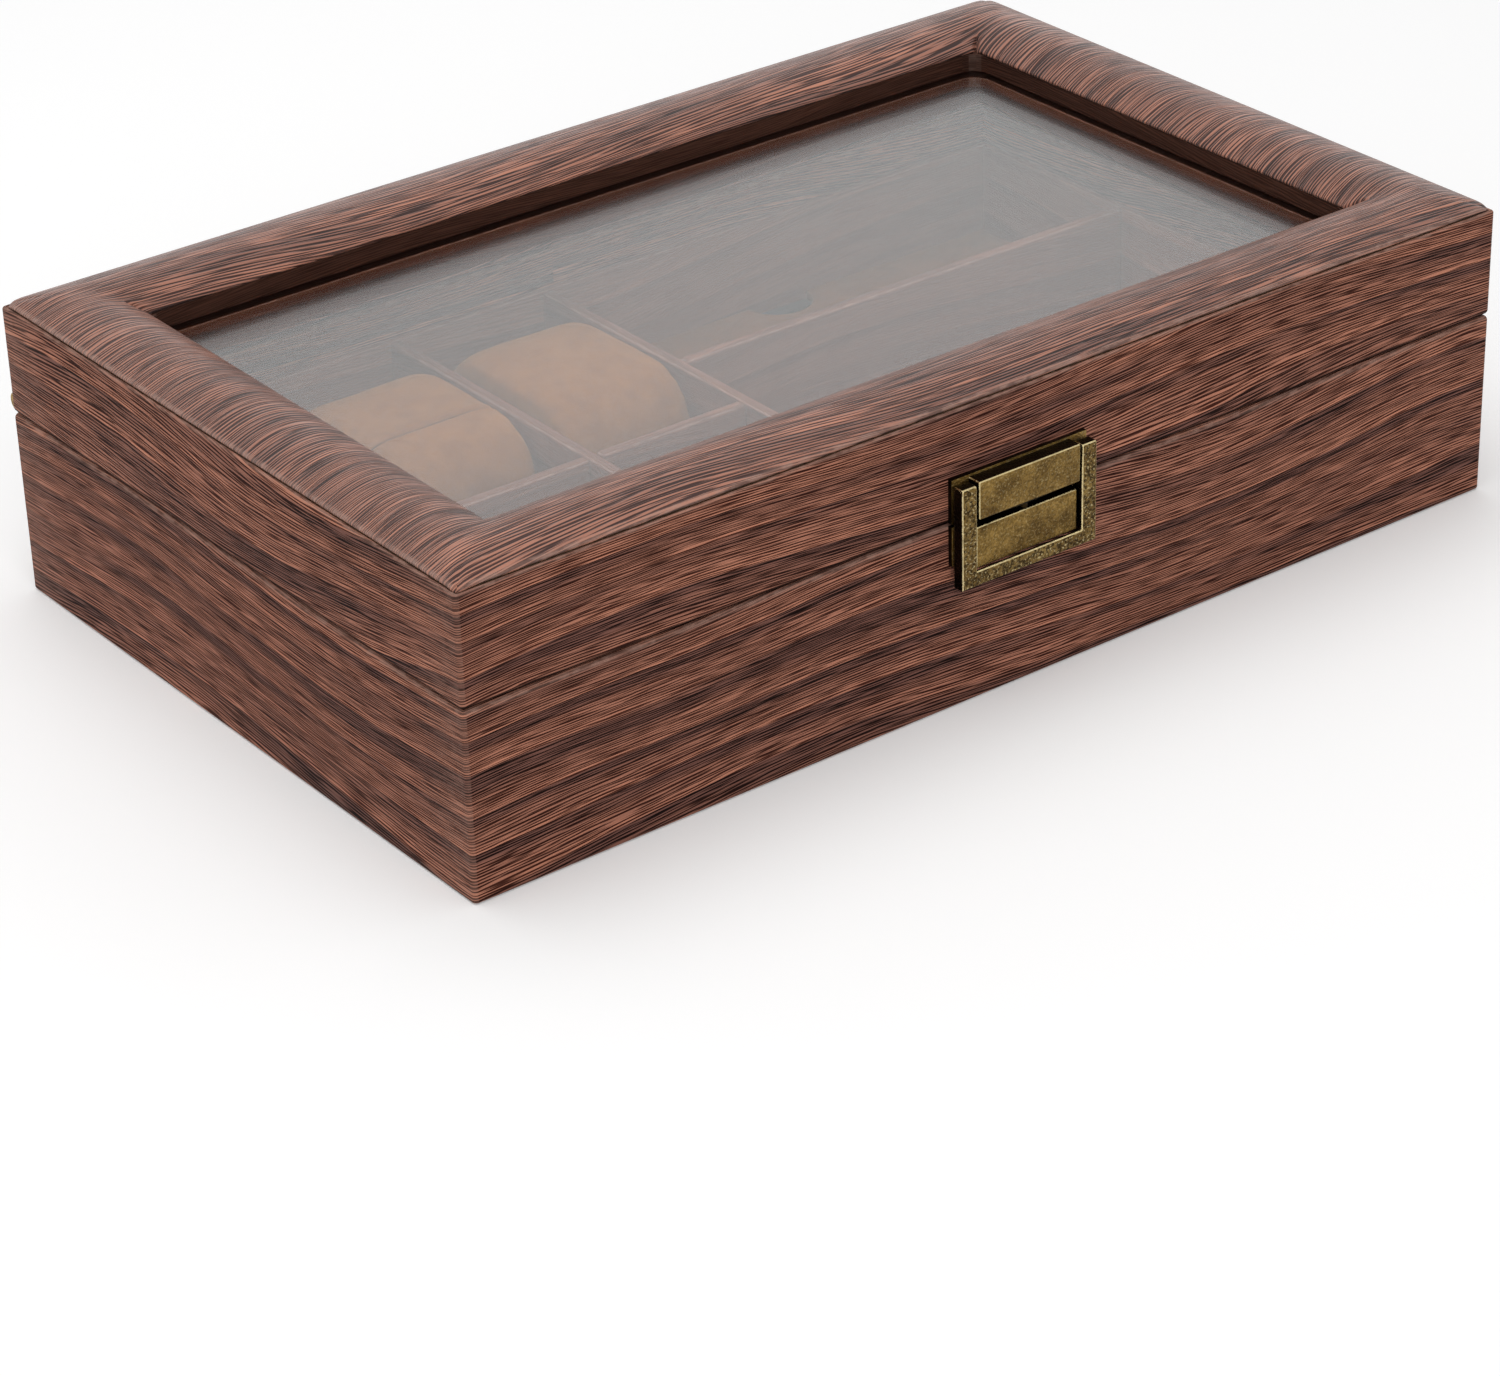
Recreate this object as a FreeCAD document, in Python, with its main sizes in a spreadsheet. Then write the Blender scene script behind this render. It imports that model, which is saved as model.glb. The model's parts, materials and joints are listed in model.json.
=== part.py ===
import FreeCAD, Part
import math
import os

import Sketcher
from FreeCAD import Placement, Rotation, Vector

# Watch and eyeglasses box with a glazed, padded lid, in millimetres.
# The origin is the middle of the underside, X runs along the front, +Y to the hinges and +Z up.
# The box is shut: the lid, the latch bail and every lift-out piece lie at their rest places.

doc = FreeCAD.newDocument("watch_box")
sheet = doc.addObject("Spreadsheet::Sheet", "Dims")


class Size:
    """A length that carries its value and the formula that ties it to the sheet."""

    def __init__(self, text, value):
        self.text = text
        self.value = value

    def __add__(self, other):
        other = as_size(other)
        return Size(f"({self.text} + {other.text})", self.value + other.value)

    def __sub__(self, other):
        other = as_size(other)
        return Size(f"({self.text} - {other.text})", self.value - other.value)

    def __mul__(self, other):
        other = as_size(other)
        return Size(f"({self.text} * {other.text})", self.value * other.value)

    def __truediv__(self, other):
        other = as_size(other)
        return Size(f"({self.text} / {other.text})", self.value / other.value)

    def __neg__(self):
        return Size(f"(0 - {self.text})", -self.value)


def as_size(amount):
    """Take a plain number as a size of its own."""
    return amount if isinstance(amount, Size) else Size(repr(float(amount)), float(amount))


def cosine(angle):
    return Size(f"cos({angle.text} * 1deg)", math.cos(math.radians(angle.value)))


def sine(angle):
    return Size(f"sin({angle.text} * 1deg)", math.sin(math.radians(angle.value)))


def dimension(name, value):
    """Write one driving dimension into the sheet under its own alias."""
    dimension.row += 1
    sheet.set(f"A{dimension.row}", name)
    sheet.set(f"B{dimension.row}", str(value))
    sheet.setAlias(f"B{dimension.row}", name)
    return Size(f"Dims.{name}", float(value))


dimension.row = 0

# Case
width = dimension("width", 320)
depth = dimension("depth", 200)
base_rise = dimension("base_rise", 50)
lid_gap = dimension("lid_gap", 0.4)
lid_rise = dimension("lid_rise", 29)
skin = dimension("skin", 0.8)
board = dimension("board", 7)
floor_board = dimension("floor_board", 4)
sole = dimension("sole", 1)
sole_inset = dimension("sole_inset", 1.4)
wrap_lift = dimension("wrap_lift", 0.3)
corner_round = dimension("corner_round", 1.8)
rim_round = dimension("rim_round", 0.5)
turned_in = dimension("turned_in", 14)

# Lining and compartments
liner = dimension("liner", 2.4)
liner_drop = dimension("liner_drop", 10)
lid_liner_drop = dimension("lid_liner_drop", 3)
divider = dimension("divider", 3.5)
main_divider_place = dimension("main_divider_place", -4)
lap_play = dimension("lap_play", 0.15)
floor_lining = dimension("floor_lining", 1)
panel_level = dimension("panel_level", 14.5)
panel = dimension("panel", 3)
panel_play = dimension("panel_play", 0.5)
riser_width = dimension("riser_width", 4.5)
notch_radius = dimension("notch_radius", 10)

# Watch pillows
pillow_width = dimension("pillow_width", 42.5)
pillow_length = dimension("pillow_length", 63)
pillow_height = dimension("pillow_height", 38)
pillow_round = dimension("pillow_round", 17.5)
pillow_edge = dimension("pillow_edge", 4)
pillow_cover = dimension("pillow_cover", 1.2)
pillow_rest = dimension("pillow_rest", 0.3)
core_play = dimension("core_play", 0.1)

# Lid frame and window
rail = dimension("rail", 26)
top_board = dimension("top_board", 5.8)
seam_drop = dimension("seam_drop", 0.8)
crown = dimension("crown", 4)
crest_inset = dimension("crest_inset", 14.5)
roll_edge = dimension("roll_edge", 0.4)
roll_foot = dimension("roll_foot", 0.1)
nose_reach = dimension("nose_reach", 0.6)
nose_top = dimension("nose_top", 0.8)
nose_under = dimension("nose_under", 1)
foam_play = dimension("foam_play", 0.1)
reveal = dimension("reveal", 2)
reveal_drop = dimension("reveal_drop", 1.5)
window_round = dimension("window_round", 5)
pane = dimension("pane", 3)
pane_lap = dimension("pane_lap", 6)
pane_play = dimension("pane_play", 0.2)
pane_round = dimension("pane_round", 3)
retainer = dimension("retainer", 3)
frame_play = dimension("frame_play", 0.1)

# Quadrant hinges
hinge_back = dimension("hinge_back", 4.5)
leaf = dimension("leaf", 1.5)
leaf_width = dimension("leaf_width", 6)
leaf_side_leg = dimension("leaf_side_leg", 40)
leaf_back_leg = dimension("leaf_back_leg", 34)
leaf_fit = dimension("leaf_fit", 0.1)
knuckle_radius = dimension("knuckle_radius", 2.5)
barrel_inset = dimension("barrel_inset", 2)
base_knuckle = dimension("base_knuckle", 9.5)
lid_knuckle = dimension("lid_knuckle", 10.4)
knuckle_gap = dimension("knuckle_gap", 0.3)
pin_radius = dimension("pin_radius", 1.1)
pin_play = dimension("pin_play", 0.05)
pin_proud = dimension("pin_proud", 0.5)
lid_opening = dimension("lid_opening", 92)
stay_reach = dimension("stay_reach", 20)
stay_capture = dimension("stay_capture", 9)
stay_width = dimension("stay_width", 2.4)
stay_thick = dimension("stay_thick", 1.6)
stay_head_radius = dimension("stay_head_radius", 1.4)
stay_head_width = dimension("stay_head_width", 3)
stay_play = dimension("stay_play", 0.4)
screw_head_radius = dimension("screw_head_radius", 1.9)
screw_head = dimension("screw_head", 1)
screw_radius = dimension("screw_radius", 0.9)
screw_length = dimension("screw_length", 7)
screw_play = dimension("screw_play", 0.1)
screw_pitch = dimension("screw_pitch", 9)
screw_margin = dimension("screw_margin", 4)

# Flip latch
latch_width = dimension("latch_width", 42)
latch_plate = dimension("latch_plate", 1.3)
latch_reach = dimension("latch_reach", 5.3)
bar_width = dimension("bar_width", 31.6)
bar_rise = dimension("bar_rise", 11)
bar_gap = dimension("bar_gap", 0.4)
plate_inset = dimension("plate_inset", 0.6)
bail_arm = dimension("bail_arm", 4.6)
bail_depth = dimension("bail_depth", 3.5)
bail_drop = dimension("bail_drop", 26.8)
bail_top_inset = dimension("bail_top_inset", 0.6)
bail_bar = dimension("bail_bar", 4)
bail_lip = dimension("bail_lip", 0.9)
bail_play = dimension("bail_play", 0.2)
bail_pin_radius = dimension("bail_pin_radius", 0.8)
bail_pin_depth = dimension("bail_pin_depth", 3)
bail_pin_cover = dimension("bail_pin_cover", 1)
press_play = dimension("press_play", 0.02)
cast_round = dimension("cast_round", 0.5)
peg_radius = dimension("peg_radius", 1.1)
peg_rise = dimension("peg_rise", 2.2)
peg_root = dimension("peg_root", 3)
peg_play = dimension("peg_play", 0.4)
nail_radius = dimension("nail_radius", 0.7)
nail_head_radius = dimension("nail_head_radius", 1.3)
nail_head = dimension("nail_head", 0.6)
nail_length = dimension("nail_length", 7)
nail_inset = dimension("nail_inset", 2.5)
doc.recompute()

# Faces of the case, from the outside in
half_x = width / 2
half_y = depth / 2
core_x = half_x - skin
core_y = half_y - skin
room_x = core_x - board
room_y = core_y - board
band_x = room_x - skin
band_y = room_y - skin
lined_x = band_x - liner
lined_y = band_y - liner

# Heights, from the table up
floor_top = sole + floor_board
watch_floor = floor_top + floor_lining
liner_top = base_rise - liner_drop
rim_low = base_rise - skin
lid_low = base_rise + lid_gap
lid_rim = lid_low + skin
seam = lid_low + lid_rise
top_board_top = seam - seam_drop
pane_top = top_board_top - top_board
pane_low = pane_top - pane
retainer_low = pane_low - retainer

# Window and hinge axis
window_x = half_x - rail
window_y = half_y - rail
axis_y = half_y + hinge_back
axis_z = base_rise + lid_gap / 2

# Lengths that tools overrun to cut clean through
OVERRUN = 1.0

TURN_TO = {
    "x": Rotation(Vector(0, 1, 0), 90),
    "y": Rotation(Vector(1, 0, 0), -90),
    "z": Rotation(),
}
UPRIGHT = Placement(Vector(), Rotation(Vector(1, 0, 0), 90))
nodes = []


def bind(thing, prop, amount):
    """Tie one property to its formula."""
    thing.setExpression(prop, as_size(amount).text)


def both(half):
    """Span that is even about the middle."""
    return (-half, half)


def on_side(side, near, far):
    """Span on the right for side 1, or its mirror on the left for side -1."""
    return (near, far) if side > 0 else (-far, -near)


def block(name, x, y, z):
    """Box given by its span along each axis."""
    box = doc.addObject("Part::Box", name)
    for (low, high), prop, axis in zip((x, y, z), ("Length", "Width", "Height"), "xyz"):
        bind(box, prop, as_size(high) - low)
        bind(box, f"Placement.Base.{axis}", low)
    return box


def rod(name, axis, span, across, radius, tip_radius=None):
    """Round bar, or cone, along one axis; across is its centre on the other two axes in order."""
    bar = doc.addObject("Part::Cone" if tip_radius else "Part::Cylinder", name)
    bar.Placement = Placement(Vector(), TURN_TO[axis])
    if tip_radius:
        bind(bar, "Radius1", radius)
        bind(bar, "Radius2", tip_radius)
    else:
        bind(bar, "Radius", radius)
    bind(bar, "Height", as_size(span[1]) - span[0])
    places = dict(zip("xyz".replace(axis, ""), across))
    places[axis] = span[0]
    for place, amount in places.items():
        bind(bar, f"Placement.Base.{place}", amount)
    return bar


def weld(name, *pieces):
    """One shape out of several."""
    joined = doc.addObject("Part::MultiFuse", name)
    joined.Shapes = list(pieces)
    return joined


def carve(name, base, *tools):
    """Base with the tools cut out of it."""
    cut = doc.addObject("Part::Cut", name)
    cut.Base = base
    cut.Tool = tools[0] if len(tools) == 1 else weld(f"{name}_tools", *tools)
    return cut


def soften(name, base, radius, wanted):
    """Round the edges of base that wanted picks."""
    doc.recompute()
    rounded = doc.addObject("Part::Fillet", name)
    rounded.Base = base
    picked = [index for index, edge in enumerate(base.Shape.Edges, start=1) if wanted(edge)]
    rounded.Edges = [(index, radius.value, radius.value) for index in picked]
    return rounded


def group(name, pieces):
    """Identical small pieces that share one node."""
    bundle = doc.addObject("Part::Compound", name)
    bundle.Links = list(pieces)
    return bundle


def node(label, thing):
    """Name a finished piece."""
    thing.Label = label
    nodes.append(thing)
    return thing


def runs_along(edge, axis):
    """Whether an edge is a straight line along a world axis."""
    first, last = edge.Vertexes[0].Point, edge.Vertexes[-1].Point
    along = last - first
    return along.Length > 0 and abs(abs(along.normalize().dot(axis)) - 1) < 1e-6


def lies_at(edge, axis, place):
    """Whether the whole edge lies on the plane across axis at place."""
    box = edge.BoundBox
    low = Vector(box.XMin, box.YMin, box.ZMin).dot(axis)
    high = Vector(box.XMax, box.YMax, box.ZMax).dot(axis)
    return abs(low - place) < 1e-3 and abs(high - place) < 1e-3


AXIS_X = Vector(1, 0, 0)
AXIS_Y = Vector(0, 1, 0)
AXIS_Z = Vector(0, 0, 1)


def hold_point(sketch, geometry, end, u, v):
    """Fix one end of a sketched line at a place tied to the sheet."""
    for kind, amount in (("DistanceX", as_size(u)), ("DistanceY", as_size(v))):
        rule = sketch.addConstraint(Sketcher.Constraint(kind, -1, 1, geometry, end, amount.value))
        sketch.setExpression(f"Constraints[{rule}]", amount.text)


def sketch_outline(sketch, corners, bows=None):
    """Closed outline through the corners; a bow makes the edge after a corner an arc through a point."""
    bows = bows or {}
    spots = [Vector(as_size(u).value, as_size(v).value, 0) for u, v in corners]
    ends = []
    for index, spot in enumerate(spots):
        after = spots[(index + 1) % len(spots)]
        if index not in bows:
            sketch.addGeometry(Part.LineSegment(spot, after), False)
            ends.append((1, 2))
            continue
        through = Vector(bows[index][0].value, bows[index][1].value, 0)
        leftward = (through - spot).cross(after - through).z > 0
        arc = Part.Arc(spot, through, after) if leftward else Part.Arc(after, through, spot)
        sketch.addGeometry(arc, False)
        ends.append((1, 2) if leftward else (2, 1))
    for index, (u, v) in enumerate(corners):
        after = (index + 1) % len(corners)
        meet = Sketcher.Constraint("Coincident", index, ends[index][1], after, ends[after][0])
        sketch.addConstraint(meet)
        hold_point(sketch, index, ends[index][0], u, v)
    for index, (u, v) in bows.items():
        dot = sketch.addGeometry(Part.Point(Vector(u.value, v.value, 0)), True)
        hold_point(sketch, dot, 1, u, v)
        sketch.addConstraint(Sketcher.Constraint("PointOnObject", dot, 1, index))


def rectangle(u, v):
    """Corners of a rectangle from its two spans."""
    return [(u[0], v[0]), (u[1], v[0]), (u[1], v[1]), (u[0], v[1])]


def body_sketch(body, role, name, lift=0.0):
    """Empty sketch on one of the body's own origin planes, lifted along the plane's normal."""
    plane = next(item for item in body.Origin.OriginFeatures if item.Role == role)
    sketch = body.newObject("Sketcher::SketchObject", name)
    sketch.AttachmentSupport = [(plane, "")]
    sketch.MapMode = "FlatFace"
    bind(sketch, "AttachmentOffset.Base.z", lift)
    return sketch


def pad(body, name, sketch, height):
    """Raise a sketch into a solid."""
    raised = body.newObject("PartDesign::Pad", name)
    raised.Profile = sketch
    bind(raised, "Length", height)
    return raised


def pocket(body, name, sketch, height):
    """Cut a sketch through the solid, along its normal."""
    doc.recompute()
    before = body.Shape.Volume
    cut = body.newObject("PartDesign::Pocket", name)
    cut.Profile = sketch
    cut.Reversed = True
    bind(cut, "Length", height)
    doc.recompute()
    if not body.Shape.Volume < before - 1e-3:
        raise RuntimeError(f"{name} cuts nothing")
    return cut


def round_body(body, name, radius, wanted):
    """Round the edges of the body that wanted picks."""
    doc.recompute()
    base = body.Tip
    rounded = body.newObject("PartDesign::Fillet", name)
    picked = [index for index, edge in enumerate(base.Shape.Edges, start=1) if wanted(edge)]
    rounded.Base = (base, [f"Edge{index}" for index in picked])
    bind(rounded, "Radius", radius)
    return rounded


def frame_sweep(name, corners, bows):
    """Profile at the right-hand rail, swept round the lid's outline with mitred corners."""
    profile = doc.addObject("Sketcher::SketchObject", f"{name}_profile")
    profile.Placement = UPRIGHT
    sketch_outline(profile, corners, bows)
    path = doc.addObject("Sketcher::SketchObject", f"{name}_path")
    sketch_outline(path, rectangle(both(half_x), both(half_y)))
    swept = doc.addObject("Part::Sweep", name)
    swept.Sections = [profile]
    swept.Spine = (path, ["Edge1", "Edge2", "Edge3", "Edge4"])
    swept.Solid = True
    swept.Frenet = False
    swept.Transition = "Right corner"
    return swept


# Hinge leaves lie in the middle of the boards' thickness
leaf_mid_x = room_x + board / 2
leaf_in_x = leaf_mid_x - leaf_width / 2
leaf_out_x = leaf_mid_x + leaf_width / 2
leaf_in_y = room_y + board / 2 - leaf_width / 2
leaf_mid_y = room_y + board / 2
leg_front_y = half_y - leaf_side_leg
leg_inner_x = leaf_out_x - leaf_back_leg
stay_half = lid_opening / 2 + stay_capture
HINGE_SIDES = {"left": -1, "right": 1}


def leaf_recess(name, side, z):
    """Mortise for an L-shaped leaf in the rim of the base or the lid."""
    side_leg = block(f"{name}_side", on_side(side, leaf_in_x - leaf_fit, leaf_out_x + leaf_fit),
                     (leg_front_y - leaf_fit, half_y + OVERRUN), z)
    back_leg = block(f"{name}_back", on_side(side, leg_inner_x - leaf_fit, leaf_out_x + leaf_fit),
                     (leaf_in_y - leaf_fit, half_y + OVERRUN), z)
    return [side_leg, back_leg]


def stay_pocket(name, side, z):
    """Slot inside a side board in which the curved stay slides."""
    half_slot = stay_head_width / 2 + stay_play
    near = axis_y - stay_reach - stay_head_radius - stay_play
    far = axis_y - stay_reach * cosine(stay_half) + stay_head_radius + stay_play
    return block(name, on_side(side, leaf_mid_x - half_slot, leaf_mid_x + half_slot), (near, far), z)


stay_depth = stay_reach * sine(stay_half) + stay_head_radius + stay_play
base_recess = (base_rise - leaf, base_rise + OVERRUN)
lid_recess = (lid_low - OVERRUN, lid_low + leaf)


def screw_places(side):
    """Places of one leaf's screws: along the side leg, and at the end of the back leg."""
    first = leg_front_y + screw_margin
    return [
        (leaf_mid_x * side, first),
        (leaf_mid_x * side, first + screw_pitch),
        ((leg_inner_x + screw_margin) * side, leaf_mid_y),
    ]


def screw(name, place, level, up, play):
    """Countersunk screw with its head at level, pointing up or down, widened by play as a hole."""
    outer, inner = screw_head_radius + play, screw_radius + play
    neck = level + screw_head * up
    tip = level + (screw_length + play) * up
    if up > 0:
        head = rod(f"{name}_head", "z", (level, neck), place, outer, inner)
        shank = rod(f"{name}_shank", "z", (neck, tip), place, inner)
    else:
        head = rod(f"{name}_head", "z", (neck, level), place, inner, outer)
        shank = rod(f"{name}_shank", "z", (tip, neck), place, inner)
    return weld(name, head, shank)


def screws(name, level, up, play, sides=(1, -1)):
    """All the screws of the leaves on the given sides."""
    places = [place for side in sides for place in screw_places(side)]
    return [screw(f"{name}_{index}", place, level, up, play) for index, place in enumerate(places)]


# Latch places: its front face, the bail's pivot, and the nails in the two plates
latch_front = -half_y - latch_reach
block_front = latch_front + bail_lip + bail_play
bail_back = latch_front + bail_depth
lid_bar_low = lid_low + bar_gap / 2
lid_bar_top = lid_bar_low + bar_rise
base_bar_top = base_rise - bar_gap / 2
base_bar_low = base_bar_top - bar_rise
bail_top = lid_bar_top - bail_top_inset
bail_low = bail_top - bail_drop
bail_pivot_y = latch_front + bail_depth / 2
bail_pivot_z = bail_top - bail_depth / 2
peg_y = -half_y - latch_reach / 2
nail_x = latch_width / 2 - nail_inset
lid_nail_z = lid_bar_low + bar_rise / 2
base_nail_z = base_bar_low + bar_rise / 2


def nails(name, z, play):
    """Two flush nails through a latch plate, widened by play as holes."""
    pieces = []
    for index, side in enumerate((1, -1)):
        front = -half_y - latch_plate
        across = (nail_x * side, z)
        head = rod(f"{name}_head_{index}", "y", (front, front + nail_head + play), across,
                   nail_head_radius + play)
        shank = rod(f"{name}_shank_{index}", "y", (front, front + nail_length + play), across,
                    nail_radius + play)
        pieces.append(weld(f"{name}_{index}", head, shank))
    return pieces


def wall_boards(prefix, z, recess, up, level, pocket_z, nail_z):
    """Four wall boards with the hinge mortises, the stay slots and the pilot holes let in."""
    for name, side in HINGE_SIDES.items():
        blank = block(f"{prefix}_{name}_blank", on_side(side, room_x, core_x), both(core_y), z)
        cuts = leaf_recess(f"{prefix}_{name}_recess", side, recess)
        cuts.append(stay_pocket(f"{prefix}_{name}_pocket", side, pocket_z))
        cuts += screws(f"{prefix}_{name}_pilot", level, up, screw_play, (side,))
        node(f"{prefix}_{name}_board", carve(f"{prefix}_{name}", blank, *cuts))
    blank = block(f"{prefix}_back_blank", both(room_x), (room_y, core_y), z)
    cuts = []
    for name, side in HINGE_SIDES.items():
        cuts += leaf_recess(f"{prefix}_back_recess_{name}", side, recess)
    cuts += screws(f"{prefix}_back_pilot", level, up, screw_play)
    node(f"{prefix}_back_board", carve(f"{prefix}_back", blank, *cuts))
    blank = block(f"{prefix}_front_blank", both(room_x), (-core_y, -room_y), z)
    holes = nails(f"{prefix}_front_pilot", nail_z, screw_play)
    node(f"{prefix}_front_board", carve(f"{prefix}_front", blank, *holes))


def wrap(prefix, outside, hollow, mouth, band, recess, nail_z, rim):
    """Leatherette over a ring of boards: the outside, the rim and a band turned in behind the liners."""
    blank = block(f"{prefix}_wrap_blank", both(half_x), both(half_y), outside)
    posts = soften(f"{prefix}_wrap_posts", blank, corner_round, lambda edge: runs_along(edge, AXIS_Z))
    rounded = soften(f"{prefix}_wrap_rim", posts, rim_round, lambda edge: lies_at(edge, AXIS_Z, rim))
    shell = carve(f"{prefix}_wrap_shell", rounded,
                  block(f"{prefix}_wrap_hollow", both(core_x), both(core_y), hollow),
                  block(f"{prefix}_wrap_mouth", both(band_x), both(band_y), mouth))
    inside = carve(f"{prefix}_wrap_band",
                   block(f"{prefix}_wrap_band_out", both(room_x), both(room_y), band),
                   block(f"{prefix}_wrap_band_in", both(band_x), both(band_y), band))
    cuts = nails(f"{prefix}_wrap_pilot", nail_z, screw_play)
    for name, side in HINGE_SIDES.items():
        cuts += leaf_recess(f"{prefix}_wrap_recess_{name}", side, recess)
    whole = weld(f"{prefix}_wrap_whole", shell, inside)
    node(f"{prefix}_wrap", carve(f"{prefix}_wrap", whole, *cuts))


def liners(prefix, z):
    """Two long liners against the front and back bands, and two short ones between them."""
    long_pair = []
    short_pair = []
    for side in (1, -1):
        across_y = on_side(side, lined_y, band_y)
        across_x = on_side(side, lined_x, band_x)
        long_pair.append(block(f"{prefix}_long_{side + 1}", both(band_x), across_y, z))
        short_pair.append(block(f"{prefix}_short_{side + 1}", across_x, both(lined_y), z))
    node(f"{prefix}_liners_long", group(f"{prefix}_liners_long", long_pair))
    node(f"{prefix}_liners_short", group(f"{prefix}_liners_short", short_pair))


def base_case():
    """Boards, floor, wrap and underside of the base."""
    wall_boards("base", (sole, rim_low), base_recess, -1, base_rise,
                (axis_z - stay_depth, base_rise), base_nail_z)
    node("base_floor_board", block("base_floor", both(room_x), both(room_y), (sole, floor_top)))
    wrap("base", (wrap_lift, base_rise), (wrap_lift - OVERRUN, rim_low),
         (rim_low - OVERRUN, base_rise + OVERRUN), (base_rise - turned_in, rim_low),
         base_recess, base_nail_z, base_rise.value)
    node("base_sole", block("base_sole", both(half_x - sole_inset), both(half_y - sole_inset), (0, sole)))
    liners("base", (floor_top, liner_top))


# Compartments: three columns of two watches on the left, three glasses slots on the right
main_left = main_divider_place - divider / 2
main_right = main_divider_place + divider / 2
WATCH_COLUMNS = 3
GLASSES_SLOTS = 3
watch_cell_x = (main_left + lined_x - divider * (WATCH_COLUMNS - 1)) / WATCH_COLUMNS
watch_cell_y = lined_y - divider / 2
slot_cell_y = (lined_y * 2 - divider * (GLASSES_SLOTS - 1)) / GLASSES_SLOTS
lap_level = (watch_floor + liner_top) / 2


def column_start(index):
    """Left face of a watch column."""
    return -lined_x + (watch_cell_x + divider) * index


def slot_start(index):
    """Front face of a glasses slot."""
    return -lined_y + (slot_cell_y + divider) * index


def dividers():
    """Covered boards that part the compartments; rows and columns are halved into each other."""
    watch_run = (-lined_x, main_left)
    slot_run = (main_right, lined_x)
    full_rise = (floor_top, liner_top)
    watch_rise = (watch_floor, liner_top)
    node("watch_floor_lining", block("watch_lining", watch_run, both(lined_y), (floor_top, watch_floor)))
    node("main_divider", block("main_divider", (main_left, main_right), both(lined_y), full_rise))
    starts = [column_start(index) - divider for index in range(1, WATCH_COLUMNS)]
    laps = []
    columns = []
    for index, start in enumerate(starts):
        lap = (start - lap_play, start + divider + lap_play)
        upper = (lap_level - lap_play, liner_top + OVERRUN)
        lower = (watch_floor - OVERRUN, lap_level)
        laps.append(block(f"row_lap_{index}", lap, both(divider), upper))
        blank = block(f"column_blank_{index}", (start, start + divider), both(lined_y), watch_rise)
        notch = block(f"column_lap_{index}", lap, both(divider / 2 + lap_play), lower)
        columns.append(carve(f"column_{index}", blank, notch))
    row = block("row_blank", watch_run, both(divider / 2), watch_rise)
    node("watch_row_divider", carve("row", row, *laps))
    node("watch_column_dividers", group("watch_columns", columns))
    walls = []
    for index in range(1, GLASSES_SLOTS):
        start = slot_start(index) - divider
        walls.append(block(f"slot_wall_{index}", slot_run, (start, start + divider), full_rise))
    node("glasses_dividers", group("glasses_walls", walls))


def glasses_panels():
    """Lift-out floor panels with a half-round finger notch, each on a pair of riser strips."""
    strips = []
    low = panel_level - panel
    for index, name in enumerate(("front", "middle", "back")):
        start = slot_start(index)
        end = start + slot_cell_y
        run = (main_right, lined_x)
        for tag, span in (("front", (start, start + riser_width)), ("back", (end - riser_width, end))):
            strips.append(block(f"riser_{name}_{tag}", run, span, (floor_top, low)))
        body = doc.addObject("PartDesign::Body", f"panel_{name}")
        outline = body_sketch(body, "XY_Plane", f"panel_outline_{name}", low)
        sketch_outline(outline, rectangle((main_right + panel_play, lined_x - panel_play),
                                          (start + panel_play, end - panel_play)))
        pad(body, f"panel_sheet_{name}", outline, panel)
        notch = body_sketch(body, "XY_Plane", f"panel_notch_{name}", low)
        centre = ((main_right + lined_x) / 2, end - panel_play)
        circle = notch.addGeometry(
            Part.Circle(Vector(centre[0].value, centre[1].value, 0), AXIS_Z, notch_radius.value), False)
        hold_point(notch, circle, 3, *centre)
        rule = notch.addConstraint(Sketcher.Constraint("Radius", circle, notch_radius.value))
        notch.setExpression(f"Constraints[{rule}]", notch_radius.text)
        pocket(body, f"panel_finger_{name}", notch, panel)
        node(f"glasses_panel_{name}", body)
    node("panel_risers", group("panel_risers", strips))


def pillow_form(name, place, inset):
    """Soft block with round front and back, drawn in from the full pillow by inset on every side."""
    body = doc.addObject("PartDesign::Body", name)
    half_width = pillow_width / 2 - inset
    outline = body_sketch(body, "YZ_Plane", f"{name}_outline", -half_width)
    sketch_outline(outline, rectangle(both(pillow_length / 2 - inset), (inset, pillow_height - inset)))
    pad(body, f"{name}_block", outline, half_width * 2)
    round_body(body, f"{name}_rounds", pillow_round - inset, lambda edge: runs_along(edge, AXIS_X))
    ends = (half_width.value, -half_width.value)
    round_body(body, f"{name}_edges", pillow_edge - inset,
               lambda edge: any(lies_at(edge, AXIS_X, end) for end in ends))
    for axis, amount in zip("xyz", place):
        bind(body, f"Placement.Base.{axis}", amount)
    return body


def watch_pillows():
    """Six pillows, one in the middle of each watch compartment."""
    middle_y = divider / 2 + watch_cell_y / 2
    for row, side in (("front", -1), ("back", 1)):
        for index, column in enumerate(("left", "middle", "right")):
            name = f"{row}_{column}"
            place = (column_start(index) + watch_cell_x / 2, middle_y * side, watch_floor + pillow_rest)
            outside = pillow_form(f"pillow_outside_{name}", place, as_size(0))
            inside = pillow_form(f"pillow_inside_{name}", place, pillow_cover)
            core = pillow_form(f"pillow_core_{name}", place, pillow_cover + core_play)
            node(f"pillow_cover_{name}", carve(f"pillow_{name}", outside, inside))
            node(f"pillow_core_{name}", core)


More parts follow.
